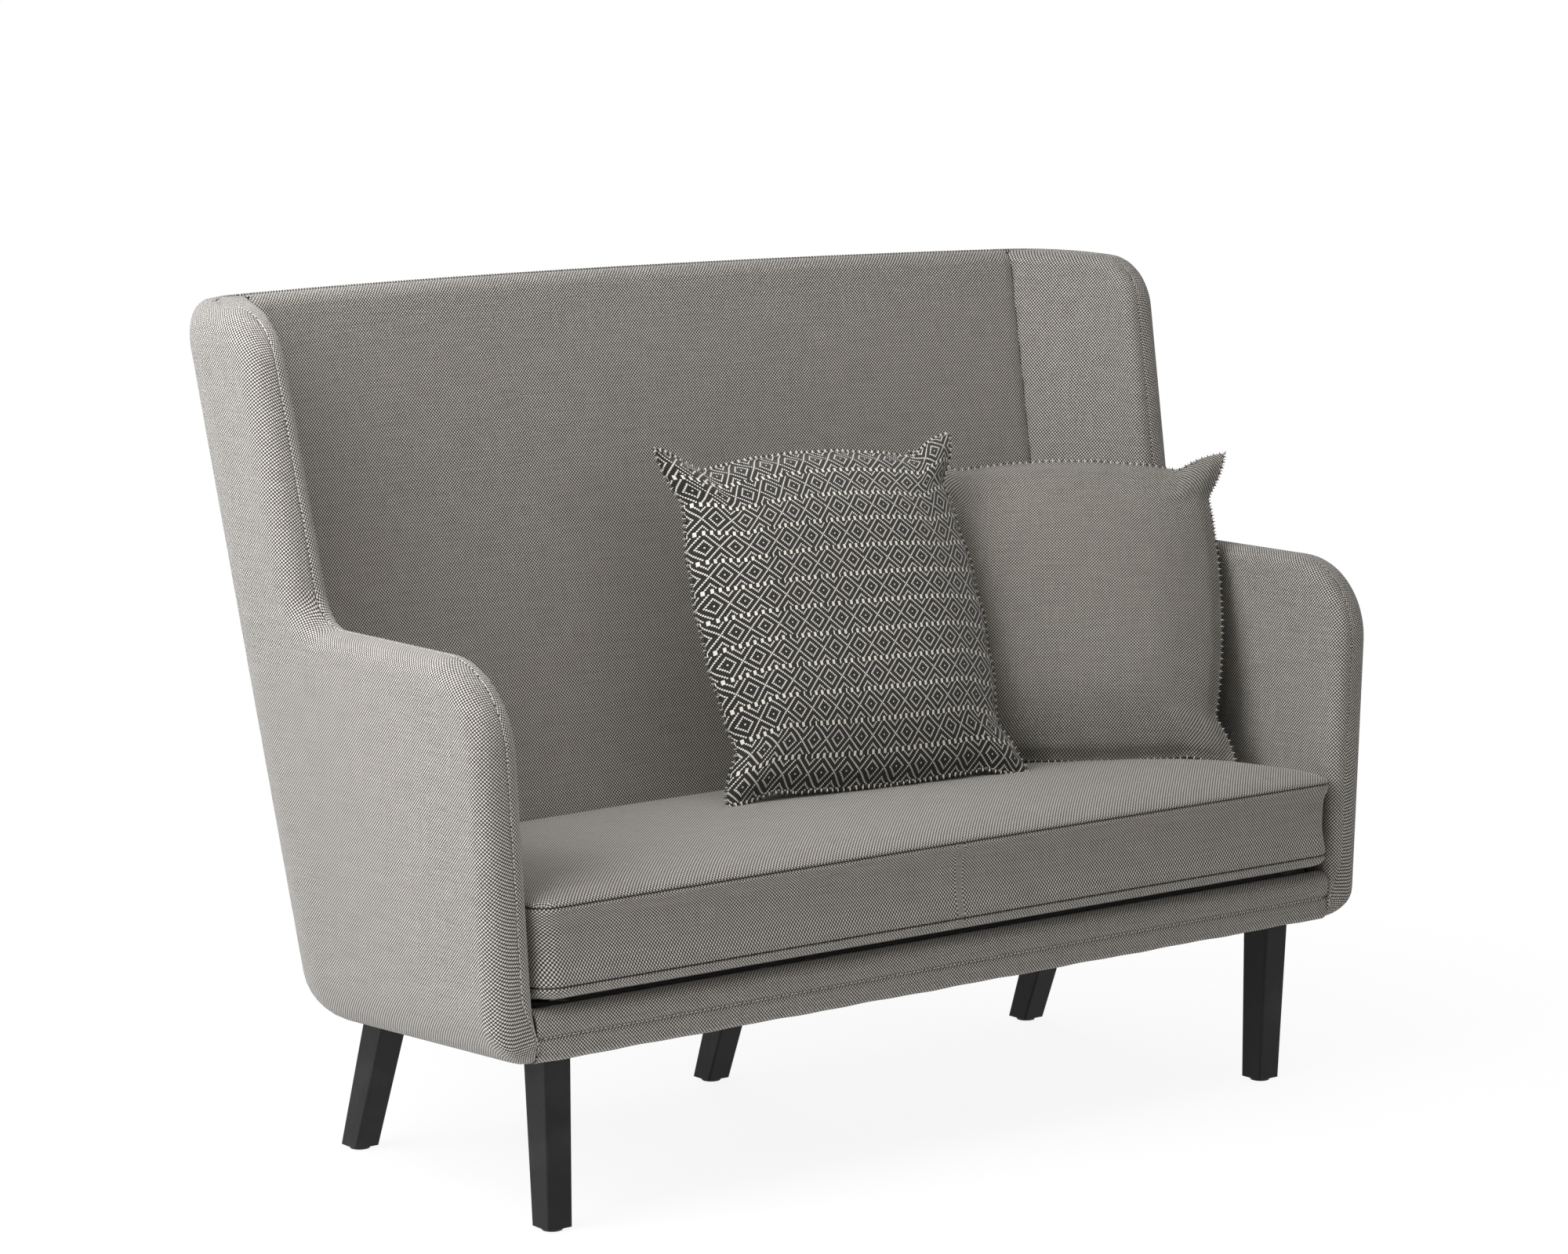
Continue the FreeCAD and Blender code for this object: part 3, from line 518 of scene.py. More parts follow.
# Outer cover
def roll(drop, depth, end_depth):
    """Rings of a rolled edge: share of the way out, how deep, how far along the cloth, and the sewn dip."""
    rings = []
    for step in range(ROLL_STEPS + 1):
        turn = pi / 2 * step / ROLL_STEPS
        rings.append((np.sin(turn), depth * (1 - np.cos(turn)), (drop + depth) / 2 * turn, 0.0))
    quarter = (drop + depth) / 2 * pi / 2
    for share in (0.5, 0.86):
        rings.append((1.0, depth + (end_depth - depth) * share, quarter + (end_depth - depth) * share, 0.0))
    rings.append((1.0, end_depth, quarter + end_depth - depth, SEAM_DIP))
    return rings


def rolled_rim(path, base, depth, end_depth, place):
    """Strip that rolls from the base line over the edge: (points, uvs, faces)."""
    reach = path - base
    drop = np.linalg.norm(reach, axis=1)
    ahead = reach / drop[:, None]
    points = []
    uvs = []
    for share, deep, cloth, dip in roll(drop, depth, end_depth):
        spot = base + reach * share - ahead * dip
        points.append(place(spot[:, 0], spot[:, 1], deep))
        uvs.append(base + ahead * cloth[:, None])
    return sheet_part(points, uvs)


def outer_side_parts(shape):
    """Outer side with its rolled rims, lapped behind the outer back."""
    lap = 0.030
    spacing = 0.013
    rear_fall = 0.028
    top_z = float(top_edge(shape, corner_facts(shape, shape.shell_top).end_x))
    low_z = shape.underside - rear_fall
    for _ in range(4):
        seam_y = float(side_place(shape, back_seam(shape, low_z), np.array(low_z), 0.0)[1])
        low_z = float(underside_at(shape, seam_y))
    high_base = top_z - shape.back_rim_drop
    low_base = low_z + shape.sill

    def seam_end(z):
        return float(back_seam(shape, z)) + lap, z

    start = seam_end(top_z)
    path = rim_path(shape, start, seam_end(low_z), 0.0, 0.0)
    base = rim_path(shape, seam_end(high_base), seam_end(low_base), shape.rim, shape.sill)
    level_run = slice(0, RUN_COUNTS[0] + 1)
    edge = side_place(shape, path[level_run, 0], path[level_run, 1], 0.0)
    path[level_run, 1] = top_level_at(shape, edge[:, 1])
    wing_end = path[RUN_COUNTS[0] + 1, 0]
    at_back = eased((path[:, 0] - wing_end) / (start[0] - wing_end)) * (path[:, 1] > shape.arm_top)
    foot_start = len(path) - 1 - RUN_COUNTS[4] - ARC_COUNTS[3] - 1
    under = eased((np.arange(len(path)) - foot_start) / ARC_COUNTS[3])
    depth = shape.rim + (shape.back_rim_depth - shape.rim) * at_back + (shape.sill - shape.rim) * under
    end_depth = np.where(path[:, 1] > shape.arm_top / 2, shape.seam_depth, seam_depth_at(shape, path[:, 1]))
    end_depth = end_depth + (shape.sill + SILL_LAP - end_depth) * under

    def place(along, z, deep):
        return side_place(shape, along, z, deep)

    rim = rolled_rim(path, base, depth, end_depth, place)
    seam_z = np.linspace(base[-1, 1], base[0, 1], 60)[1:-1]
    seam = np.stack([back_seam(shape, seam_z) + lap, seam_z], -1)
    flat, faces = filled(np.vstack([base, seam]), spacing)
    face = (side_place(shape, flat[:, 0], flat[:, 1], np.zeros(len(flat))), flat, faces)
    return [face, rim]


def outer_back_parts(shape):
    """Outer back, lapped over the rear corners and a little proud of them, with its edges turned in."""
    proud = 0.0016
    turned_share = 0.015
    turned_depth = 0.003
    low_x = 0.60
    low_level = 0.2
    columns = np.linspace(-1, 1, 121)
    unit = np.ones_like(columns)
    top_x = float(corner_facts(shape, shape.shell_top).end_x)
    top = top_edge(shape, columns * top_x)
    low = underside_at(shape, back_place(shape, columns * low_x, low_level, 0.0))
    high_base = top - shape.back_rim_drop
    low_base = low + shape.sill
    rings = []
    for share, deep, cloth, dip in reversed(roll(shape.back_rim_drop * unit, shape.back_rim_depth * unit,
                                                 shape.seam_depth * unit)):
        rings.append((high_base + shape.back_rim_drop * share - dip, deep, high_base + cloth))
    for share in np.linspace(0, 1, 60)[1:-1]:
        level = high_base + (low_base - high_base) * share
        rings.append((level, 0 * unit, level))
    sill = shape.sill * unit
    for share, deep, cloth, dip in roll(sill, sill, sill + SILL_LAP):
        rings.append((low_base - shape.sill * share + dip, deep, low_base - cloth))
    points = []
    uvs = []
    turned_in = np.clip((np.abs(columns) - 1 + turned_share) / turned_share, 0, 1) ** 2 * turned_depth
    for level, deep, cloth in rings:
        x = columns * corner_facts(shape, level).end_x
        deep = deep - proud + turned_in
        x = x * (1 - deep / shape.back_curve)
        points.append(np.stack([x, back_place(shape, x, level, deep), level], -1))
        uvs.append(np.stack([x, cloth], -1))
    return [sheet_part(points, uvs)]


# Inner cover
def inner_side_parts(shape):
    """Inner side with its rolled rim, the slanted wing and the top of the rear corner."""
    start_z = shape.shell_top
    for _ in range(4):
        start_y = float(crease_y(shape, start_z))
        start_z = float(top_level_at(shape, start_y))
    toe = 0.050
    foot = shape.underside + 0.014
    deck = shape.deck_top - 0.004
    tuck = 0.022
    inset = shape.inner_rim
    base_z = start_z - inset
    path = rim_path(shape, (start_y, start_z), (0.0, foot))
    base = rim_path(shape, (float(crease_y(shape, base_z)), base_z), (inset, foot), inset)
    full = inner_depth(shape, base[:, 0], base[:, 1])
    seam = rim_seam_depth(shape, path[:, 0], path[:, 1])
    width = np.maximum(full - seam, FIT)
    rounding = np.minimum(inset, width)

    def place(y, z, deep):
        return inner_place(shape, y, z, full - deep)

    rim_points, rim_uvs, rim_faces = rolled_rim(path, base, rounding, width, place)
    rim_rows = len(rim_uvs) // len(base)
    rim_uvs = rim_uvs + np.tile(sheet_shift(shape, base[:, 0], base[:, 1]), (rim_rows, 1))
    ring = list(base)
    ring.append((toe, foot))
    ring.append((toe, float(underside_at(shape, toe)) + deck))
    low_z = shape.underside + deck - tuck
    ring.append((float(crease_y(shape, low_z)), low_z))
    crease_z = np.linspace(low_z, base[0, 1], 70)[1:-1]
    ring += list(np.stack([crease_y(shape, crease_z), crease_z], -1))
    flat, faces = filled(ring, INNER_STEP)
    drawn = crease_dip(crease_y(shape, flat[:, 1]) - flat[:, 0])
    depth = inner_depth(shape, flat[:, 0], flat[:, 1]) - drawn
    face = (inner_place(shape, flat[:, 0] + drawn, flat[:, 1], depth),
            flat + sheet_shift(shape, flat[:, 0], flat[:, 1]), faces)
    return [face, (rim_points, rim_uvs, rim_faces), corner_cap(shape, start_y, start_z)]


def corner_cap(shape, start_y, start_z):
    """Top of the rear corner, between the crease and the seam of the outer cover."""
    count = 60
    inner_count = 20
    corner = corner_facts(shape, start_z)
    side_x = float(half_width(shape, start_z))
    crease_x = side_x - shape.crease_inset
    along_end = float(back_seam(shape, start_z) + corner.end_x) - crease_x
    turn = np.arcsin((start_y - corner.centre_y) / ((shape.rear_corner - shape.seam_depth) * corner.stretch))
    along = np.linspace(along_end, corner.centre_y + shape.rear_corner * turn, count)
    outer = side_place(shape, along, np.full(count, start_z), np.full(count, shape.seam_depth))[:, :2]
    depths = np.linspace(rim_seam_depth(shape, start_y, start_z), shape.crease_inset, inner_count)[1:]
    inner = np.stack([side_x - depths, np.full_like(depths, start_y)], -1)
    flat, faces = filled(np.vstack([outer, inner]), INNER_STEP)
    level = top_level_at(shape, flat[:, 1]) - SEAM_DIP / 2
    return np.column_stack([flat, level]), flat[:, ::-1], faces


def sheet_shift(shape, y, z):
    """Extra cloth along the slanted wing, so that the weave keeps its size there."""
    slope = (shape.crease_inset - shape.wall) / shape.slant_run
    extra = (inner_depth(shape, y, z) - shape.wall) * (hypot(1, slope) - 1) / slope
    return np.stack([extra, 0 * extra], -1)


def crease_dip(distance):
    """How far the cloth is drawn in beside a sewn crease."""
    return CREASE_DRAW * np.clip(1 - distance / CREASE_REACH, 0, 1) ** 2


def inner_back_parts(shape):
    """Inner back with its rolled top, down behind the deck."""
    columns = np.sin(np.linspace(-1, 1, 141) * pi / 2)
    unit = np.ones_like(columns)
    tuck = 0.030
    roll_depth = 0.012
    low = shape.underside + shape.deck_top - tuck
    top_x = half_width(shape, shape.shell_top) - shape.crease_inset
    top = top_level_at(shape, back_place(shape, columns * top_x, shape.shell_top, shape.wall))
    base = top - shape.inner_rim
    rings = []
    for share, deep, cloth, dip in reversed(roll(shape.inner_rim * unit, shape.inner_rim * unit,
                                                 (shape.wall - shape.seam_depth) * unit)):
        rings.append((base + shape.inner_rim * share - dip, shape.wall - deep, base + cloth))
    for share in np.linspace(0, 1, 70)[1:]:
        level = base + (low - base) * share
        rings.append((level, shape.wall * unit, level))
    points = []
    uvs = []
    for level, deep, cloth in rings:
        reach = half_width(shape, level) - shape.crease_inset
        x = columns * reach
        drawn = crease_dip(reach - np.abs(x)) * (deep > shape.seam_depth + roll_depth)
        x = x + drawn * np.sign(x)
        points.append(np.stack([x, back_place(shape, x, level, deep - drawn), level], -1))
        uvs.append(np.stack([x, cloth / cos(shape.back_rake)], -1))
    return [sheet_part(points, uvs)]


# Wrapped front rail
def rail_parts(shape):
    """Rounded fabric-wrapped bar with a sewn groove along its front."""
    front = RAIL_SETBACK
    deep = 0.026
    high = shape.deck_top
    groove = 0.0055
    shoulder = 0.0035
    level_part = 0.009
    top_roll = 0.017
    low_roll = 0.013
    crest = high - 0.0025
    foot = 0.014
    turns = [pi / 2 * step / 8 for step in range(9)]
    profile = [(front + deep, crest)]
    for turn in turns:
        profile.append((front + top_roll * (1 - sin(turn)), crest - top_roll * (1 - cos(turn))))
    for sunk, up in ((0, level_part), (FIT, shoulder), (groove, 0), (FIT, -shoulder), (0, -level_part)):
        profile.append((front + sunk, RAIL_SEAM + up))
    for turn in turns:
        profile.append((front + low_roll * (1 - cos(turn)), foot - low_roll * sin(turn)))
    profile.append((front + deep - 0.012, 0.001))
    profile = np.array(profile)
    cloth = run_lengths(profile)
    columns = np.linspace(-1, 1, 181)
    wave = 0.0008 * np.sin(columns * 23.0) + 0.0006 * np.sin(columns * 57.0 + 1.3)
    points = []
    uvs = []
    for (y, height), run in zip(profile, cloth):
        level = underside_at(shape, y) + height
        x = columns * (half_width(shape, level) - shape.wall - FIT)
        sag = (0.5 - height / high) * wave * (height < RAIL_SEAM)
        points.append(np.stack([x, y + 0 * x, level + sag], -1))
        uvs.append(np.stack([x, -run + 0 * x], -1))
    return [sheet_part(points, uvs)]


# Seat cushion, deck, lining and pillows
def cushion_ring(shape, cushion, height, inset, front=None, count=520):
    """Closed plan outline of the cushion at a height above the deck, with its levels."""
    slant_corner = 0.09
    fine_step = 0.004
    front_level = shape.underside + shape.deck_top + height
    slope = tan(shape.seat_slope)
    gap = shape.wall + cushion.gap
    rise = front_level - slope * shape.base_depth - shape.underside
    reach = shape.back_curve - gap
    crease_x = shape.base_width / 2 - shape.crease_inset - cushion.gap
    apex = shape.base_depth - gap / cos(shape.back_rake)
    crease_back = apex - reach + np.sqrt(reach ** 2 - crease_x ** 2) + rise * tan(shape.back_rake)
    crease_x += rise * tan(shape.side_lean)
    slant_y = crease_back - shape.slant_run
    side_x = half_width(shape, front_level - slope * slant_y) - gap
    bow = apex + rise * tan(shape.back_rake) - crease_back
    if front is None:
        front = -cushion.overhang
    back_arc = [(crease_x * share, crease_back + bow * (1 - share ** 2)) for share in np.linspace(1, -1, 60)]
    corners = [(0.0, front, 0), (side_x, front, cushion.front_corner), (side_x, slant_y, slant_corner),
               (crease_x, crease_back, 0)]
    right = rounded_path(corners, (16, 20), (60, 60, 30))
    left = right[::-1] * (-1, 1)
    ring = resampled(np.vstack([right[:-1], back_arc, left[1:-1]]), fine_step, True)
    ring = resampled(ring, np.linalg.norm(np.diff(ring, axis=0), axis=1).sum() / count, True)[:count]
    normal = outward(np.vstack([ring[-1:], ring, ring[:1]]))[1:-1]
    ring = ring - normal * inset
    return np.column_stack([ring, front_level - slope * ring[:, 1]]), normal


def crown_rise(cushion, distance):
    """Rise of the cushion's top at a distance from its edge."""
    share = np.clip(distance / cushion.spread, 0, 1)
    return cushion.crown * np.sqrt(1 - (1 - share) ** 2)


def cushion_parts(shape, cushion):
    """Top, boxing and bottom of the cushion before it is filled, with its seam lines and their normals."""
    lip_inset = 0.0040
    lip_run = 0.0046
    clear = 0.006
    slope = tan(shape.seat_slope)
    deck = shape.underside + shape.deck_top
    low = cushion.low_seam
    high = cushion.high_seam
    lift = cushion.foot_lift
    foot = cushion.foot_inset
    under = [(0.0, foot + 0.040), (lift * 0.35, foot + 0.014)]
    for turn in np.linspace(pi / 2, 0.30, 9):
        under.append((low - (low - lift) * sin(turn), foot * (1 - cos(turn)) ** 1.6))
    under.append((low - SEAM_NEAR, 0.0))
    boxing = [low + SEAM_NEAR, *np.linspace(low + clear, high - clear, 10), high - SEAM_NEAR]
    levels = under + [(low, SEAM_GROOVE)] + [(height, 0.0) for height in boxing]
    levels += [(high, SEAM_GROOVE), (high + SEAM_NEAR, -FIT)]
    rings = [cushion_ring(shape, cushion, height, inset) for height, inset in levels]
    low_seam_ring = rings[len(under)][0]
    top_ring, normal = rings[-2]
    edge_ring = rings[-1][0]
    count = len(top_ring)
    reach = run_lengths(top_ring)
    band_points = np.vstack([ring for ring, _ in rings])
    band_uvs = np.vstack([np.stack([reach, height + 0 * reach], -1) for height, _ in levels])
    band = (band_points, band_uvs, strip_faces(count, len(levels), True))
    lip = cushion_ring(shape, cushion, high, lip_inset)[0]
    lip[:, 2] += crown_rise(cushion, lip_run)
    edge_points = np.vstack([edge_ring, lip])
    edge = (edge_points, edge_points[:, :2], strip_faces(count, 2, True))
    flat, faces = filled(lip[:, :2], 0.015)
    rise = crown_rise(cushion, polygon_distance(flat, edge_ring[:, :2]))
    top = (np.column_stack([flat, deck + high - slope * flat[:, 1] + rise]), flat, faces)
    floor, floor_faces = filled(rings[0][0][:, :2], 0.03)
    bottom = (np.column_stack([floor, deck - slope * floor[:, 1]]), floor, floor_faces)
    return [top, edge, band, bottom], [low_seam_ring, top_ring], normal


def deck_parts(shape, cushion):
    """Thin padded deck under the cushion, with soft edges."""
    front = 0.030
    slope = tan(shape.seat_slope)
    levels = [(-0.0076, 0.004), (-0.0070, 0.001), (-0.0050, 0.0)]
    levels += [(-0.0026, 0.0), (-0.0010, 0.0015), (-0.0004, 0.005)]
    rings = [cushion_ring(shape, cushion, height, inset, front)[0] for height, inset in levels]
    points = np.vstack(rings)
    parts = [(points, points[:, :2], strip_faces(len(rings[0]), len(rings), True))]
    for index, spacing in ((-1, 0.016), (0, 0.04)):
        flat, faces = filled(rings[index][:, :2], spacing)
        level = shape.underside + shape.deck_top + levels[index][0] - slope * flat[:, 1]
        parts.append((np.column_stack([flat, level]), flat, faces))
    return parts


def dust_sheet_parts(shape):
    """Lining stretched under the base, sagging a little between the rails."""
    columns = np.linspace(-1, 1, 61)
    rows = np.linspace(0, 1, 33)
    inset = shape.sill + 0.0008
    level = shape.underside - 0.012
    front = 0.033
    lift = 0.0066
    droop = 0.0030
    corner = corner_facts(shape, level)
    x = columns * (half_width(shape, level) - inset)
    round_off = np.clip(np.abs(x) - corner.centre_x, 0, None)
    bend = np.sqrt(np.clip((shape.rear_corner - inset) ** 2 - round_off ** 2, 0, None))
    at_corner = corner.centre_y + corner.stretch * bend
    rear = np.where(np.abs(x) > corner.centre_x, at_corner, back_place(shape, x, level, inset))
    points = []
    for row in rows:
        y = front + (rear - front) * row
        sag = droop * np.sin(pi * row) ** 2 * np.abs(np.sin(pi * columns))
        points.append(np.stack([x, y, underside_at(shape, y) + lift - sag], -1))
    return [sheet_part(points, [row[:, :2] for row in points])]


def pillow_sheets(side, count):
    """Two square sheets sewn along their edges, in the pillow's own frame: x across, z up, y through."""
    ticks = np.linspace(-1, 1, count)
    across, up = np.meshgrid(ticks, ticks)
    across = across.ravel()
    up = up.ravel()
    slack = 0.016
    puff = slack * (1 - across ** 2) * (1 - up ** 2)
    flat = np.stack([across, up], -1) * side / 2
    sheets = []
    for sign in (-1, 1):
        points = np.stack([flat[:, 0], sign * puff, flat[:, 1]], -1)
        sheets.append((points, flat, strip_faces(count, count)))
    return sheets


def inflated(piece, cap, pinned=None):
    """Points of a closed cloth filled by inner pressure, each kept within its cap from where it was."""
    mesh = piece.data
    start = np.empty(len(mesh.vertices) * 3)
    mesh.vertices.foreach_get("co", start)
    start = start.reshape(-1, 3)
    filling = piece.modifiers.new("Filling", "CLOTH")
    cloth = filling.settings
    cloth.quality = 6
    cloth.mass = 0.25
    cloth.use_pressure = True
    cloth.uniform_pressure_force = 4.0
    cloth.effector_weights.gravity = 0.0
    cloth.tension_stiffness = 25.0
    cloth.compression_stiffness = 12.0
    cloth.shear_stiffness = 6.0
    cloth.bending_stiffness = 0.6
    if pinned is not None:
        group = piece.vertex_groups.new(name="Resting")
        group.add([int(index) for index in pinned], 1.0, "REPLACE")
        cloth.vertex_group_mass = "Resting"
    last_frame = 20
    filling.point_cache.frame_start = 1
    filling.point_cache.frame_end = last_frame
    scene = bpy.context.scene
    for number in range(1, last_frame + 1):
        scene.frame_set(number)
    seen = piece.evaluated_get(bpy.context.evaluated_depsgraph_get())
    moved = np.empty(len(mesh.vertices) * 3)
    seen.data.vertices.foreach_get("co", moved)
    scene.frame_set(1)
    piece.modifiers.remove(filling)
    piece.vertex_groups.clear()
    step = moved.reshape(-1, 3) - start
    size = np.linalg.norm(step, axis=1)
    limit = np.broadcast_to(cap, size.shape)
    step *= (np.minimum(size, limit) / np.maximum(size, 1e-9))[:, None]
    return start + step


def set_points(piece, points):
    """Move the points of a piece's mesh."""
    piece.data.vertices.foreach_set("co", np.asarray(points, np.float64).ravel())
    piece.data.update()


# Materials
def new_group(name, inputs, outputs):
    """Empty node group with named inputs and outputs, and its first and last nodes."""
    group = bpy.data.node_groups.new(name, "ShaderNodeTree")
    for way, sockets in (("INPUT", inputs), ("OUTPUT", outputs)):
        for label, kind in sockets.items():
            group.interface.new_socket(name=label, in_out=way, socket_type="NodeSocket" + kind)
    return group, group.nodes.new("NodeGroupInput"), group.nodes.new("NodeGroupOutput")


class Wiring:
    """Adds nodes to a tree and links them, in few words."""

    def __init__(self, tree):
        self.tree = tree

    def node(self, kind, **values):
        made = self.tree.nodes.new(kind)
        for key, value in values.items():
            setattr(made, key, value)
        return made

    def link(self, start, end):
        self.tree.links.new(start, end)

    def fill(self, node, values):
        """Link or set inputs of a node, by name or number."""
        for key, value in values.items():
            if isinstance(value, bpy.types.NodeSocket):
                self.link(value, node.inputs[key])
            else:
                node.inputs[key].default_value = value
        return node

    def math(self, operation, *values, clamp=False):
        made = self.node("ShaderNodeMath", operation=operation, use_clamp=clamp)
        return self.fill(made, dict(enumerate(values))).outputs[0]

    def mix(self, factor, first, second, blend="MIX"):
        made = self.node("ShaderNodeMix", data_type="RGBA", blend_type=blend)
        return self.fill(made, {0: factor, 6: first, 7: second}).outputs[2]

    def vector(self, operation, values, output="Vector"):
        made = self.node("ShaderNodeVectorMath", operation=operation)
        return self.fill(made, values).outputs[output]

    def stretched(self, place, scale):
        return self.vector("MULTIPLY", {0: place, 1: scale})

    def split(self, place):
        return self.fill(self.node("ShaderNodeSeparateXYZ"), {0: place}).outputs

    def noise(self, place, scale, detail=2.0, rough=0.5, output="Fac"):
        values = {"Scale": scale, "Detail": detail, "Roughness": rough, "Vector": place}
        return self.fill(self.node("ShaderNodeTexNoise"), values).outputs[output]

    def bump(self, height, strength, distance, under=None):
        values = {"Strength": strength, "Distance": distance, "Height": height}
        if under is not None:
            values["Normal"] = under
        return self.fill(self.node("ShaderNodeBump"), values).outputs["Normal"]

    def placed(self, group, values):
        """Outputs of a node group whose inputs are all given."""
        return self.fill(self.node("ShaderNodeGroup", node_tree=group), values).outputs


def weave_group():
    """Two-tone basket weave on cloth coordinates in metres."""
    if "Basket weave" in bpy.data.node_groups:
        return bpy.data.node_groups["Basket weave"]
    group, entry, leave = new_group(
        "Basket weave",
        {"Place": "Vector", "Cell": "Float", "Light thread": "Color", "Dark thread": "Color"},
        {"Colour": "Color", "Height": "Float"},
    )
    wire = Wiring(group)
    given = entry.outputs
    cells = wire.vector("SCALE", {0: given["Place"], "Scale": wire.math("DIVIDE", 1.0, given["Cell"])})
    drift = wire.stretched(wire.noise(cells, 0.16, output="Color"), (0.22, 0.22, 0.22))
    parts = wire.split(wire.vector("ADD", {0: cells, 1: drift}))
    across = wire.math("SINE", wire.math("MULTIPLY", parts["X"], pi))
    along = wire.math("SINE", wire.math("MULTIPLY", parts["Y"], pi))
    checker = wire.math("MULTIPLY", across, along)
    light = wire.math("MULTIPLY_ADD", checker, 2.4, 0.17, clamp=True)
    weft = wire.noise(wire.stretched(cells, (0.035, 0.9, 1.0)), 1.0)
    warp = wire.noise(wire.stretched(cells, (0.9, 0.045, 1.0)), 1.0)
    weave = wire.mix(light, given["Dark thread"], given["Light thread"])
    tone = wire.math("ADD", wire.math("MULTIPLY", weft, 0.50), wire.math("MULTIPLY_ADD", warp, 0.40, 0.55))
    shade = wire.fill(wire.node("ShaderNodeCombineColor"), {0: tone, 1: tone, 2: tone})
    toned = wire.mix(1.0, weave, shade.outputs[0], "MULTIPLY")
    slub = wire.math("MULTIPLY_ADD", weft, 9.0, -6.4, clamp=True)
    lump = wire.math("ABSOLUTE", checker)
    wire.fill(leave, {
        "Colour": wire.mix(wire.math("MULTIPLY", slub, 0.45), toned, given["Dark thread"]),
        "Height": wire.math("MULTIPLY_ADD", weft, 0.6, lump),
    })
    return group


def rub_group():
    """Fine mottling and worn spots on object coordinates, for hard finishes."""
    if "Rubbed finish" in bpy.data.node_groups:
        return bpy.data.node_groups["Rubbed finish"]
    group, entry, leave = new_group(
        "Rubbed finish",
        {"Place": "Vector", "Base": "Color", "Rubbed": "Color", "Scale": "Float"},
        {"Colour": "Color", "Rough": "Float", "Height": "Float"},
    )
    wire = Wiring(group)
    given = entry.outputs
    grown = wire.vector("SCALE", {0: given["Place"], "Scale": given["Scale"]})
    coarse = wire.noise(grown, 0.25, 4.0)
    fine = wire.noise(grown, 6.0, 3.0)
    spots = wire.math("MULTIPLY_ADD", coarse, 4.0, -2.0, clamp=True)
    wire.fill(leave, {
        "Colour": wire.mix(spots, given["Base"], given["Rubbed"]),
        "Rough": wire.math("MULTIPLY_ADD", fine, 0.25, 0.30),
        "Height": wire.math("ADD", fine, wire.math("MULTIPLY", coarse, 0.5)),
    })
    return group


def grain_group():
    """Long wood grain along one axis of the object coordinates."""
    if "Wood grain" in bpy.data.node_groups:
        return bpy.data.node_groups["Wood grain"]
    group, entry, leave = new_group(
        "Wood grain",
        {"Place": "Vector", "Early wood": "Color", "Late wood": "Color"},
        {"Colour": "Color", "Rough": "Float", "Height": "Float"},
    )
    wire = Wiring(group)
    given = entry.outputs
    long = wire.noise(wire.stretched(given["Place"], (6.0, 90.0, 90.0)), 1.0, 5.0, 0.6)
    fine = wire.noise(wire.stretched(given["Place"], (30.0, 700.0, 700.0)), 1.0, 2.0)
    lines = wire.math("MULTIPLY_ADD", long, 3.2, -1.1, clamp=True)
    wire.fill(leave, {
        "Colour": wire.mix(lines, given["Early wood"], given["Late wood"]),
        "Rough": wire.math("MULTIPLY_ADD", fine, 0.2, 0.55),
        "Height": wire.math("ADD", lines, fine),
    })
    return group


def new_material(name):
    """Material with its wiring, its shader and the coordinates of the piece."""
    material = bpy.data.materials.new(name)
    material.use_nodes = True
    wire = Wiring(material.node_tree)
    shader = material.node_tree.nodes["Principled BSDF"]
    return material, wire, shader, wire.node("ShaderNodeTexCoord").outputs


def fabric_material(name, finish, light=None, dark=None, by_object=False):
    """Woven cloth on the piece's own cloth coordinates, or on object coordinates where it has none."""
    material, wire, shader, place = new_material(name)
    cloth = place["UV"]
    if by_object:
        parts = wire.split(place["Object"])
        height = wire.math("ADD", parts["Y"], parts["Z"])
        cloth = wire.fill(wire.node("ShaderNodeCombineXYZ"), {"X": parts["X"], "Y": height}).outputs[0]
    weave = wire.placed(weave_group(), {
        "Place": cloth, "Cell": finish.weave_cell,
        "Light thread": light or finish.light_thread, "Dark thread": dark or finish.dark_thread,
    })
    soft = wire.bump(wire.noise(cloth, 9.0, 2.0), 0.16, 0.005)
    wire.fill(shader, {
        "Base Color": weave["Colour"], "Normal": wire.bump(weave["Height"], 0.55, 0.0007, soft),
        "Roughness": 0.88, "Specular IOR Level": 0.25, "Sheen Weight": 0.16, "Sheen Roughness": 0.45,
    })
    return material


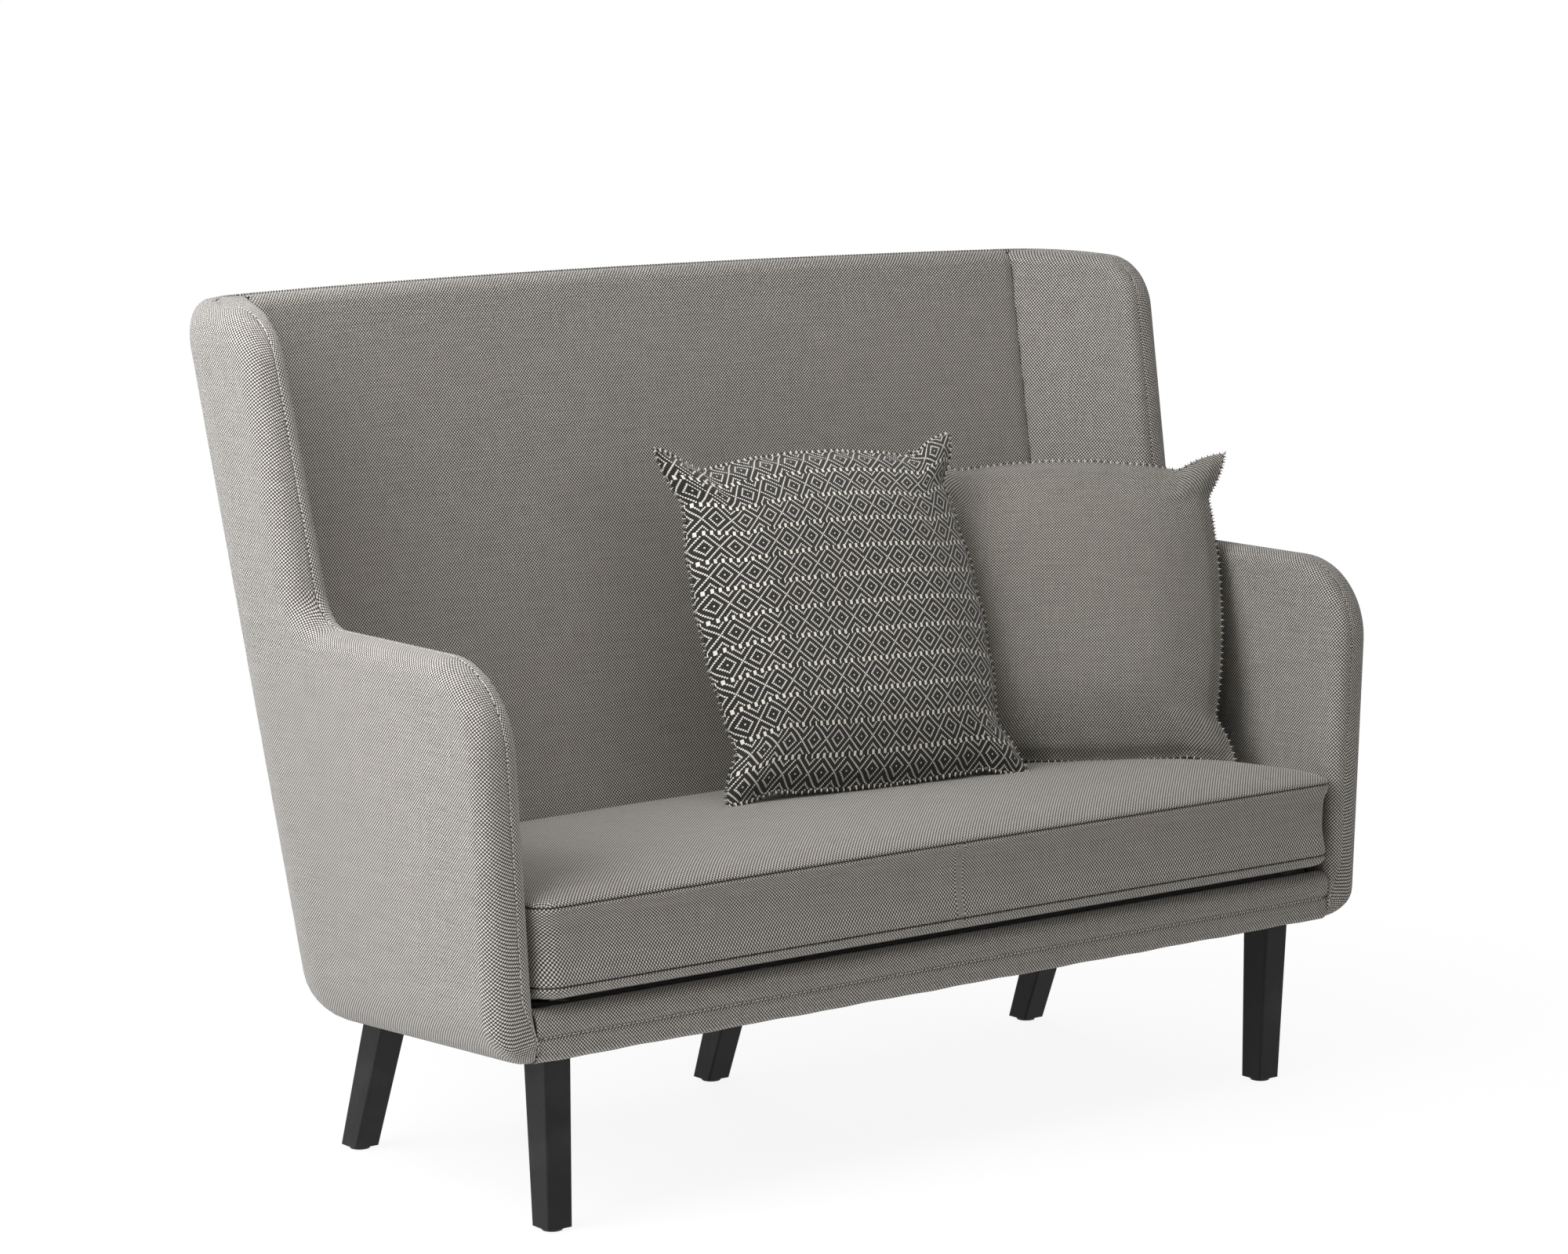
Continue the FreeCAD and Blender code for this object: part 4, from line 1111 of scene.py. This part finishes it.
def patterned_material(name, finish):
    """Woven pillow cover with stepped lozenges and bars in rows, on the cloth's own coordinates."""
    material, wire, shader, place = new_material(name)
    cloth = place["UV"]
    pick = 0.0021
    snapped = wire.vector("SNAP", {0: cloth, 1: (pick, pick, pick)})
    motifs = wire.split(wire.vector("SCALE", {0: snapped, "Scale": 1.0 / finish.motif}))

    def from_middle(value):
        return wire.math("ABSOLUTE", wire.math("SUBTRACT", wire.math("FRACT", value), 0.5))

    offset = wire.math("MULTIPLY", wire.math("MODULO", wire.math("FLOOR", motifs["Y"]), 2.0), 0.5)
    across = from_middle(wire.math("ADD", motifs["X"], offset))
    up = from_middle(motifs["Y"])
    lozenge = wire.math("PINGPONG", wire.math("ADD", across, up), 0.125)
    dark = wire.math("GREATER_THAN", lozenge, 0.046)
    bars = wire.math("GREATER_THAN", up, 0.43)
    dashes = wire.math("FRACT", wire.math("MULTIPLY", motifs["X"], 4.0))
    border = wire.math("MULTIPLY", bars, wire.math("GREATER_THAN", dashes, 0.34))
    motif = wire.math("MAXIMUM", wire.math("MULTIPLY", dark, wire.math("SUBTRACT", 1.0, bars)), border)
    weave = wire.placed(weave_group(), {
        "Place": cloth, "Cell": pick / 2,
        "Light thread": (1.0, 1.0, 1.0, 1.0), "Dark thread": (0.62, 0.62, 0.62, 1.0),
    })
    plain = wire.mix(motif, finish.pattern_light, finish.pattern_dark)
    soft = wire.bump(wire.noise(cloth, 14.0, 2.0), 0.25, 0.005)
    wire.fill(shader, {
        "Base Color": wire.mix(1.0, plain, weave["Colour"], "MULTIPLY"),
        "Normal": wire.bump(weave["Height"], 0.5, 0.0006, soft),
        "Roughness": 0.9, "Specular IOR Level": 0.2, "Sheen Weight": 0.15,
    })
    return material


def dimmed(tone):
    """A colour at six tenths of its brightness."""
    return tuple(channel * 0.6 for channel in tone[:3]) + (1.0,)


def thread_material(name, thread):
    material, wire, shader, place = new_material(name)
    twist = wire.noise(place["Object"], 900.0, 2.0)
    wire.fill(shader, {"Base Color": wire.mix(twist, dimmed(thread), thread), "Roughness": 0.8})
    return material


def hard_material(name, base, rubbed, scale, metallic=0.0, specular=0.5):
    material, wire, shader, place = new_material(name)
    rub = wire.placed(rub_group(), {
        "Place": place["Object"], "Base": base, "Rubbed": rubbed, "Scale": scale,
    })
    wire.fill(shader, {
        "Base Color": rub["Colour"], "Roughness": rub["Rough"],
        "Normal": wire.bump(rub["Height"], 0.15, 0.0004),
        "Metallic": metallic, "Specular IOR Level": specular,
    })
    return material


def wood_material(name, base):
    material, wire, shader, place = new_material(name)
    grain = wire.placed(grain_group(), {
        "Place": place["Object"], "Early wood": base, "Late wood": dimmed(base),
    })
    wire.fill(shader, {
        "Base Color": grain["Colour"], "Roughness": grain["Rough"],
        "Normal": wire.bump(grain["Height"], 0.2, 0.0005),
    })
    return material


# Stitches, by geometry nodes
def stitch_tree(material, size):
    """Tree that lays a small spindle of thread on every point of a mesh, along its stored directions."""
    tree = bpy.data.node_groups.new("Stitch row", "GeometryNodeTree")
    tree.interface.new_socket(name="Places", in_out="INPUT", socket_type="NodeSocketGeometry")
    tree.interface.new_socket(name="Stitches", in_out="OUTPUT", socket_type="NodeSocketGeometry")
    wire = Wiring(tree)
    entry = wire.node("NodeGroupInput")
    leave = wire.node("NodeGroupOutput")
    spindle = wire.fill(wire.node("GeometryNodeMeshUVSphere"), {"Segments": 6, "Rings": 5, "Radius": 0.5})
    turn = wire.node("FunctionNodeAxesToRotation", primary_axis="X", secondary_axis="Z")
    for index, label in enumerate(("along", "up")):
        stored = wire.node("GeometryNodeInputNamedAttribute", data_type="FLOAT_VECTOR")
        stored.inputs["Name"].default_value = label
        wire.link(stored.outputs["Attribute"], turn.inputs[index])
    lay = wire.fill(wire.node("GeometryNodeInstanceOnPoints"), {
        "Points": entry.outputs["Places"], "Instance": spindle.outputs["Mesh"],
        "Rotation": turn.outputs[0], "Scale": size,
    })
    real = wire.fill(wire.node("GeometryNodeRealizeInstances"), {"Geometry": lay.outputs["Instances"]})
    paint = wire.fill(wire.node("GeometryNodeSetMaterial"), {
        "Geometry": real.outputs["Geometry"], "Material": material,
    })
    wire.link(paint.outputs["Geometry"], leave.inputs["Stitches"])
    return tree


def stitch_piece(name, rows, material, size):
    """Stitches of one size as a plain mesh. rows are (points, along, up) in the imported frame."""
    points = np.vstack([row[0] for row in rows])
    mesh = bpy.data.meshes.new(name)
    mesh.from_pydata([tuple(point) for point in points], [], [])
    for label, index in (("along", 1), ("up", 2)):
        store = mesh.attributes.new(label, "FLOAT_VECTOR", "POINT")
        store.data.foreach_set("vector", np.vstack([row[index] for row in rows]).astype(np.float32).ravel())
    piece = bpy.data.objects.new(name, mesh)
    bpy.context.scene.collection.objects.link(piece)
    sewing = piece.modifiers.new("Sewing", "NODES")
    sewing.node_group = stitch_tree(material, size)
    baked(piece)
    piece.data.polygons.foreach_set("use_smooth", [True] * len(piece.data.polygons))
    return piece


def row_along(points, pitch, up, closed=False):
    """Stitch places at a pitch along a line of points, with their directions."""
    points = resampled(points, pitch, closed)
    if closed:
        along = np.roll(points, -1, axis=0) - np.roll(points, 1, axis=0)
    else:
        along = np.gradient(points, axis=0)
    along /= np.linalg.norm(along, axis=1)[:, None]
    return points, along, np.broadcast_to(np.asarray(up, float), points.shape)


def in_frame(points):
    """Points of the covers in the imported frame."""
    return np.asarray(points) + (0.0, FRAME_SHIFT, 0.0)


def settings():
    """The sizes of the shell, the sizes of the cushions, and the finishes."""
    scene = bpy.context.scene
    return scene.sofa_shape, scene.sofa_cushions, scene.sofa_finish


# Operators
def finish_cover(piece, node):
    """Thicken a cover of the shell, hang it on the sofa's body and hide the frame part it replaces."""
    thickened(piece, CLOTH)
    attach(piece, "sofa")
    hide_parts(node)


def sew_shell(layer, sides, back, fabric, facing):
    """The left, right and back pieces of the outer or inner cover."""
    for name, mirror in (("left", True), ("right", False)):
        piece = make_piece(layer + "_cover_" + name, sides, fabric, facing, mirror)
        finish_cover(piece, layer + "_side_" + name)
    finish_cover(make_piece(layer + "_cover_back", back, fabric, facing), layer + "_back")


class SOFA_OT_outer_cover(bpy.types.Operator):
    """Sew the outer sides, the rounded rear corners and the outer back"""
    bl_idname = "sofa.outer_cover"
    bl_label = "Outer Cover"

    def execute(self, context):
        shape, _, finish = settings()
        fabric = fabric_material("Basket fabric, outside", finish)
        sew_shell("outer", outer_side_parts(shape), outer_back_parts(shape), fabric, 1)
        return {"FINISHED"}


class SOFA_OT_inner_cover(bpy.types.Operator):
    """Sew the inner sides and the inner back, drawn in at the creases"""
    bl_idname = "sofa.inner_cover"
    bl_label = "Inner Cover"

    def execute(self, context):
        shape, _, finish = settings()
        fabric = fabric_material("Basket fabric, inside", finish)
        sew_shell("inner", inner_side_parts(shape), inner_back_parts(shape), fabric, -1)
        return {"FINISHED"}


class SOFA_OT_front_rail(bpy.types.Operator):
    """Wrap the front rail in fabric with a sewn groove"""
    bl_idname = "sofa.front_rail"
    bl_label = "Front Rail"

    def execute(self, context):
        shape, _, finish = settings()
        fabric = fabric_material("Basket fabric, rail", finish)
        piece = make_piece("rail_wrap", rail_parts(shape), fabric, 1)
        finish_cover(piece, "front_rail_cover")
        return {"FINISHED"}


def soften(piece):
    """Round a filled piece off by one subdivision."""
    soft = piece.modifiers.new("Soft", "SUBSURF")
    soft.levels = 1
    soft.render_levels = 1


def sharpen(piece, marked):
    """Keep the edges between marked points sharp under subdivision."""
    crease = piece.data.attributes.new("crease_edge", "FLOAT", "EDGE")
    crease.data.foreach_set("value", [float(marked[first] and marked[second])
                                      for first, second in (edge.vertices for edge in piece.data.edges)])


class SOFA_OT_seat_cushion(bpy.types.Operator):
    """Fill the boxed seat cushion and sew its two seams"""
    bl_idname = "sofa.seat_cushion"
    bl_label = "Seat Cushion"

    def execute(self, context):
        shape, cushion, finish = settings()
        fabric = fabric_material("Basket fabric, cushion", finish)
        parts, seams, normal = cushion_parts(shape, cushion)
        piece = make_piece("boxed_seat_cushion", parts, fabric, 1)
        start = np.array([vertex.co for vertex in piece.data.vertices])
        top_swell = 0.004
        front_swell = 0.009
        side_swell = 0.0025
        seam_pull = 0.030
        front_band = 0.03
        resting = 0.002
        on_seam = 0.0005
        depth = start[:, 1] - FRAME_SHIFT
        above = start[:, 2] - (shape.underside + shape.deck_top) + tan(shape.seat_slope) * depth
        cap = np.where(depth < front_band, front_swell, side_swell)
        cap = np.where(above > cushion.high_seam + 0.001, top_swell, cap)
        pinned = np.where(above < resting)[0]
        to_seam = np.minimum(np.abs(above - cushion.low_seam), np.abs(above - cushion.high_seam))
        free = eased((to_seam - SEAM_NEAR) / seam_pull)
        swell = inflated(piece, cap, pinned) - start
        set_points(piece, start + swell * free[:, None])
        sharpen(piece, to_seam < on_seam)
        soften(piece)
        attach(piece, "seat_cushion")
        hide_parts("seat_cushion_cover", "seat_cushion_core")
        thread = thread_material("Seam thread, cushion", finish.stitch_dark)
        ring_normal = np.column_stack([normal, 0 * normal[:, 0]])
        pitch = 0.0062
        proud = 0.0012
        rows = []
        for ring in seams:
            places, along, _ = row_along(in_frame(ring), pitch, (0, 0, 1), True)
            picks = np.linspace(0, len(ring), len(places), endpoint=False).astype(int)
            rows.append((places + ring_normal[picks] * proud, along, ring_normal[picks]))
        stitches = stitch_piece("cushion_seam_stitches", rows, thread, (0.0058, 0.0016, 0.0014))
        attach(stitches, "seat_cushion")
        return {"FINISHED"}


def drawn_in(share, ears):
    """How far a pillow's side is drawn in along its run: most at the ears' feet, less in the middle."""
    along = np.abs(share)
    ear = np.clip((along - EAR_FOOT) / (1 - EAR_FOOT), 0, 1)
    middle = np.clip(1 - (along / EAR_FOOT) ** 2, 0, 1)
    return ears * ((1 - ear) ** EAR_TAPER - BULGE * middle)


def smoothed_sheets(across, up, facing, through, count):
    """The two sheets' bulge with the creases of the filling's mesh smoothed out."""
    column = np.rint((across + 1) / 2 * (count - 1)).astype(int)
    row = np.rint((up + 1) / 2 * (count - 1)).astype(int)
    result = through.copy()
    for sign in (-1, 1):
        picked = facing * sign > 1e-7
        sheet = np.zeros((count, count))
        sheet[row[picked], column[picked]] = through[picked]
        for _ in range(6):
            near = sheet[:-2, 1:-1] + sheet[2:, 1:-1] + sheet[1:-1, :-2] + sheet[1:-1, 2:]
            sheet[1:-1, 1:-1] = sheet[1:-1, 1:-1] / 2 + near / 8
        result[picked] = sheet[row[picked], column[picked]]
    return result


class SOFA_OT_scatter_pillows(bpy.types.Operator):
    """Fill the two scatter pillows and sew their edges"""
    bl_idname = "sofa.scatter_pillows"
    bl_label = "Scatter Pillows"

    def execute(self, context):
        _, cushion, finish = settings()
        plain = fabric_material("Basket fabric, pillow", finish, finish.pillow_light)
        woven = patterned_material("Patterned weave", finish)
        self.pillow("plain", plain, "basket_fabric", cushion, finish)
        self.pillow("patterned", woven, "patterned_fabric", cushion, finish)
        return {"FINISHED"}

    def pillow(self, kind, fabric, slot, cushion, finish):
        """Fill one pillow, draw in its sides, set it in its place and sew its edge."""
        name = kind + "_pillow"
        side, rise, ears, turn, lean = (getattr(cushion, kind + "_" + size) for size in PILLOW_SIZES)
        count = 53
        slack = 1.07
        most_puff = 0.09
        ripple_depth = 0.0022
        curl_depth = 0.009
        sheet = side * slack
        piece = make_piece(name + "_soft", pillow_sheets(sheet, count), fabric, 1)
        own = np.array([vertex.co for vertex in piece.data.vertices])
        own[:, 1] -= FRAME_SHIFT
        set_points(piece, own)
        puffed = inflated(piece, most_puff)
        across = np.clip(own[:, 0] / (sheet / 2), -1, 1)
        up = np.clip(own[:, 2] / (sheet / 2), -1, 1)
        through = smoothed_sheets(across, up, own[:, 1], puffed[:, 1], count)
        filling = np.abs(through) / np.abs(through).max()
        through = np.sign(own[:, 1]) * self.plumpness(across, up, filling)
        ripple = np.sin(7 * pi * across + 0.6) * np.abs(up) ** 12
        ripple += np.sin(6 * pi * up) * np.abs(across) ** 12
        curl = curl_depth * (across * up) ** 9 * (1 + up) / 2
        pressed = 0.70 + 0.30 * up
        formed = np.stack([
            across * (1 - drawn_in(up, ears)) * side / 2,
            through * cushion.pillow_thickness / 2 + ripple_depth * ripple + curl,
            up * (1 - drawn_in(across, ears * pressed)) * (side + rise) / 2,
        ], -1)
        low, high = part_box(name + "_cover")
        spin = np.array(Euler((0, 0, turn)).to_matrix()) @ np.array(Euler((-lean, 0, 0)).to_matrix())
        settled = formed @ spin.T
        settled += (np.array(low) + np.array(high)) / 2 - (settled.min(axis=0) + settled.max(axis=0)) / 2
        settled += spin @ np.array((0.0, 0.0, rise / 2))
        set_points(piece, settled)
        soften(piece)
        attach(piece, name)
        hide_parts(name + "_cover", name + "_filling")
        edge = np.isclose(np.abs(own[:, [0, 2]]).max(axis=1), sheet / 2, atol=1e-4)
        line = settled[self.border(piece.data, edge)]
        self.sew_edge(name, slot, line, settled.mean(axis=0), spin[:, 1], finish)

    def plumpness(self, across, up, filling):
        """Bulge of a sheet, from 0 to 1: the filling evened out, with a flat lip along the sewn edge."""
        lip_start = 0.925
        lip_run = 0.035
        least = 0.022
        even = ((1 - np.abs(across) ** 2.6) * (1 - np.abs(up) ** 2.6)) ** 0.55
        lip = 1 - eased((np.maximum(np.abs(across), np.abs(up)) - lip_start) / lip_run)
        return np.maximum((0.45 * filling + 0.55 * even) * lip, least)

    def sew_edge(self, name, slot, line, centre, through, finish):
        """Stitches across the edge of a pillow, light and dark by turns."""
        pitch = 0.0046
        set_in = 0.0028
        places, along, _ = row_along(line, pitch, (0, 0, 1), True)
        across = places - centre
        across -= along * (across * along).sum(axis=1)[:, None]
        across /= np.linalg.norm(across, axis=1)[:, None]
        places = places - across * set_in
        through = np.broadcast_to(through, places.shape)
        for label, first, tone in (("light", 0, finish.stitch_light), ("dark", 1, finish.stitch_dark)):
            picked = slice(first, None, 2)
            rows = [(places[picked], across[picked], through[picked])]
            thread = thread_material("Edge thread, " + label + ", " + name, tone)
            stitches = stitch_piece(name + "_edge_stitches_" + label, rows, thread, (0.0064, 0.0016, 0.0052))
            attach(stitches, name)

    def border(self, mesh, edge):
        """Indices of the sewn edge's points, in order round the pillow."""
        links = {}
        for first, second in mesh.edge_keys:
            if edge[first] and edge[second]:
                links.setdefault(first, []).append(second)
                links.setdefault(second, []).append(first)
        start = next(iter(links))
        ring = [start]
        before = None
        while True:
            ahead = [index for index in links[ring[-1]] if index != before]
            before = ring[-1]
            if ahead[0] == start:
                return ring
            ring.append(ahead[0])


class SOFA_OT_shell_stitches(bpy.types.Operator):
    """Sew the seams along the rims and the front rail"""
    bl_idname = "sofa.shell_stitches"
    bl_label = "Shell Stitches"

    def execute(self, context):
        shape, _, finish = settings()
        thread = thread_material("Seam thread, shell", finish.stitch_light)
        rim_pitch = 0.0064
        rail_pitch = 0.0068
        rail_y = RAIL_SETBACK + 0.0012
        start_y = float(crease_y(shape, shape.shell_top))
        start = (start_y, float(top_level_at(shape, start_y)))
        path = rim_path(shape, start, (0.0, shape.underside + SEAM_END))
        normal = outward(path)
        place = path - normal * FIT
        seam = rim_seam_depth(shape, path[:, 0], path[:, 1])
        right = inner_place(shape, place[:, 0], place[:, 1], seam)
        up = np.column_stack([0 * normal[:, 0], normal])
        rows = []
        for sign in (1, -1):
            points, along, _ = row_along(in_frame(right) * (sign, 1, 1), rim_pitch, (0, 0, 1))
            picks = np.linspace(0, len(up) - 1, len(points)).round().astype(int)
            rows.append((points, along, up[picks]))
        rail_x = half_width(shape, shape.underside) - shape.wall - 0.012
        level = shape.underside + RAIL_SEAM
        rail = [(-rail_x, rail_y, level), (rail_x, rail_y, level)]
        rows.append(row_along(in_frame(rail), rail_pitch, (0, -1, 0)))
        stitches = stitch_piece("shell_seam_stitches", rows, thread, (0.0044, 0.0013, 0.0010))
        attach(stitches, "sofa")
        return {"FINISHED"}


class SOFA_OT_deck_and_lining(bpy.types.Operator):
    """Lay the padded seat deck and stretch the lining under the base"""
    bl_idname = "sofa.deck_and_lining"
    bl_label = "Deck and Lining"

    def execute(self, context):
        shape, cushion, finish = settings()
        cloth = fabric_material("Deck cloth", finish, (0.060, 0.057, 0.054, 1), (0.022, 0.021, 0.020, 1))
        deck = make_piece("deck_pad", deck_parts(shape, cushion), cloth, 1)
        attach(deck, "sofa")
        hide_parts("seat_deck")
        cloth = fabric_material("Lining cloth", finish, (0.038, 0.037, 0.036, 1), (0.018, 0.018, 0.018, 1))
        parts = dust_sheet_parts(shape)
        lining = make_piece("dust_sheet", parts, cloth, 1)
        area = sum(face.area for face in lining.data.polygons)
        thickened(lining, LINING)
        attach(lining, "sofa")
        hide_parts("dust_cover")
        return {"FINISHED"}


class SOFA_OT_frame_finishes(bpy.types.Operator):
    """Lacquer the legs and finish the frame, the metal and the webbing"""
    bl_idname = "sofa.frame_finishes"
    bl_label = "Frame Finishes"

    def execute(self, context):
        _, _, finish = settings()
        lacquer = finish.lacquer
        worn = tuple(channel * 1.9 + 0.004 for channel in lacquer[:3]) + (1.0,)
        plastic = (0.02, 0.02, 0.02, 1)
        scuffed = (0.05, 0.05, 0.05, 1)
        zinc = (0.45, 0.46, 0.47, 1)
        bright = (0.6, 0.6, 0.6, 1)
        strap = (0.10, 0.09, 0.08, 1)
        strap_dark = (0.03, 0.03, 0.03, 1)
        finishes = {
            "leg_lacquer": hard_material("Black lacquer", lacquer, worn, 30.0, specular=0.16),
            "glide_plastic": hard_material("Glide plastic", plastic, scuffed, 60.0),
            "zinc_steel": hard_material("Zinc-plated steel", zinc, bright, 50.0, 1.0),
            "frame_timber": wood_material("Frame timber", finish.timber),
            "frame_plywood": wood_material("Frame plywood", (0.58, 0.43, 0.26, 1)),
            "webbing": fabric_material("Webbing", finish, strap, strap_dark, True),
        }
        for row in frame["record"]["subparts"]:
            node = frame["nodes"][row["node"]]
            material = finishes.get(row["material_slot"])
            if material is None:
                continue
            for index in range(max(1, len(node.material_slots))):
                if node.material_slots:
                    node.material_slots[index].material = material
                else:
                    node.data.materials.append(material)
        return {"FINISHED"}


class SOFA_OT_stage(bpy.types.Operator):
    """Lay the floor, set the lights and the camera"""
    bl_idname = "sofa.stage"
    bl_label = "Stage"

    def execute(self, context):
        _, _, finish = settings()
        self.floor(finish)
        self.lights()
        self.camera()
        return {"FINISHED"}

    def floor(self, finish):
        mesh = bpy.data.meshes.new("studio_floor")
        reach = 30.0
        mesh.from_pydata([(-reach, -reach, 0), (reach, -reach, 0), (reach, reach, 0), (-reach, reach, 0)],
                         [], [(0, 1, 2, 3)])
        floor = bpy.data.objects.new("studio_floor", mesh)
        bpy.context.scene.collection.objects.link(floor)
        material, wire, shader, place = new_material("Studio floor")
        wire.fill(shader, {"Base Color": finish.floor, "Roughness": 0.9})
        far = wire.vector("LENGTH", {0: place["Object"]}, "Value")
        near = wire.math("MULTIPLY_ADD", far, 0.9, -0.45, clamp=True)
        fade = wire.math("MULTIPLY_ADD", near, 0.10, 0.90)
        ray = wire.node("ShaderNodeLightPath").outputs
        mirrored = wire.math("MAXIMUM", ray["Is Glossy Ray"], ray["Is Transmission Ray"])
        seen = wire.math("MAXIMUM", ray["Is Camera Ray"], mirrored)
        white = wire.node("ShaderNodeEmission")
        blend = wire.fill(wire.node("ShaderNodeMixShader"), {
            0: wire.math("MULTIPLY", fade, seen), 1: shader.outputs[0], 2: white.outputs[0],
        })
        wire.link(blend.outputs[0], material.node_tree.nodes["Material Output"].inputs["Surface"])
        mesh.materials.append(material)

    def lights(self):
        cool = (0.95, 0.97, 1.0)
        white = (1.0, 1.0, 1.0)
        for name, place, target, size, power, tint in (
            ("key_light", (-2.1, -0.2, 1.75), (-0.6, 0.1, 0.6), 1.8, 84.0, cool),
            ("fill_light", (1.0, -4.5, 2.2), (0.0, 0.0, 0.6), 2.6, 29.0, white),
            ("top_light", (-1.0, -0.5, 3.0), (-0.2, 0.0, 0.5), 2.4, 60.0, white),
            ("rear_light", (1.6, 4.2, 2.2), (0.2, 0.2, 0.6), 2.4, 55.0, white),
        ):
            lamp = bpy.data.lights.new(name, "AREA")
            lamp.size = size
            lamp.energy = power
            lamp.color = tint
            light = bpy.data.objects.new(name, lamp)
            light.location = place
            light.rotation_euler = (Vector(target) - Vector(place)).to_track_quat("-Z", "Y").to_euler()
            bpy.context.scene.collection.objects.link(light)
        world = bpy.data.worlds.new("Studio")
        world.use_nodes = True
        wire = Wiring(world.node_tree)
        ray = wire.node("ShaderNodeLightPath").outputs
        level = wire.math("MULTIPLY_ADD", ray["Is Camera Ray"], 0.68, 0.32)
        wire.fill(world.node_tree.nodes["Background"], {"Color": (1, 1, 1, 1), "Strength": level})
        bpy.context.scene.world = world

    def camera(self):
        lens = bpy.data.cameras.new("studio_camera")
        lens.sensor_width = 36.0
        lens.sensor_fit = "HORIZONTAL"
        lens.lens = 106.488
        lens.clip_end = 100.0
        camera = bpy.data.objects.new("studio_camera", lens)
        camera.location = (-3.7506, -4.7892, 1.5879)
        camera.rotation_euler = (radians(90 - 8.79), 0.0, radians(-38.13))
        bpy.context.scene.collection.objects.link(camera)
        bpy.context.scene.camera = camera
        bpy.context.scene.view_settings.view_transform = "Standard"


OPERATORS = (
    SOFA_OT_outer_cover, SOFA_OT_inner_cover, SOFA_OT_front_rail, SOFA_OT_seat_cushion,
    SOFA_OT_scatter_pillows, SOFA_OT_shell_stitches, SOFA_OT_deck_and_lining, SOFA_OT_frame_finishes,
    SOFA_OT_stage,
)


class SOFA_PT_sidebar(bpy.types.Panel):
    """Lists the steps that dress the sofa"""
    bl_idname = "SOFA_PT_sidebar"
    bl_label = "High-back Sofa"
    bl_space_type = "VIEW_3D"
    bl_region_type = "UI"
    bl_category = "Sofa"

    def draw(self, context):
        for operator in OPERATORS:
            self.layout.operator(operator.bl_idname)


CLASSES = (SofaShape, CushionShape, SofaFinish, *OPERATORS, SOFA_PT_sidebar)


def register():
    for cls in CLASSES:
        bpy.utils.register_class(cls)
    bpy.types.Scene.sofa_shape = bpy.props.PointerProperty(type=SofaShape)
    bpy.types.Scene.sofa_cushions = bpy.props.PointerProperty(type=CushionShape)
    bpy.types.Scene.sofa_finish = bpy.props.PointerProperty(type=SofaFinish)


def unregister():
    del bpy.types.Scene.sofa_finish
    del bpy.types.Scene.sofa_cushions
    del bpy.types.Scene.sofa_shape
    for cls in reversed(CLASSES):
        bpy.utils.unregister_class(cls)


def main():
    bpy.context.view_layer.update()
    register()
    bpy.ops.sofa.outer_cover()
    bpy.ops.sofa.inner_cover()
    bpy.ops.sofa.front_rail()
    bpy.ops.sofa.seat_cushion()
    bpy.ops.sofa.scatter_pillows()
    bpy.ops.sofa.shell_stitches()
    bpy.ops.sofa.deck_and_lining()
    bpy.ops.sofa.frame_finishes()
    bpy.ops.sofa.stage()


if __name__ == "__main__":
    main()
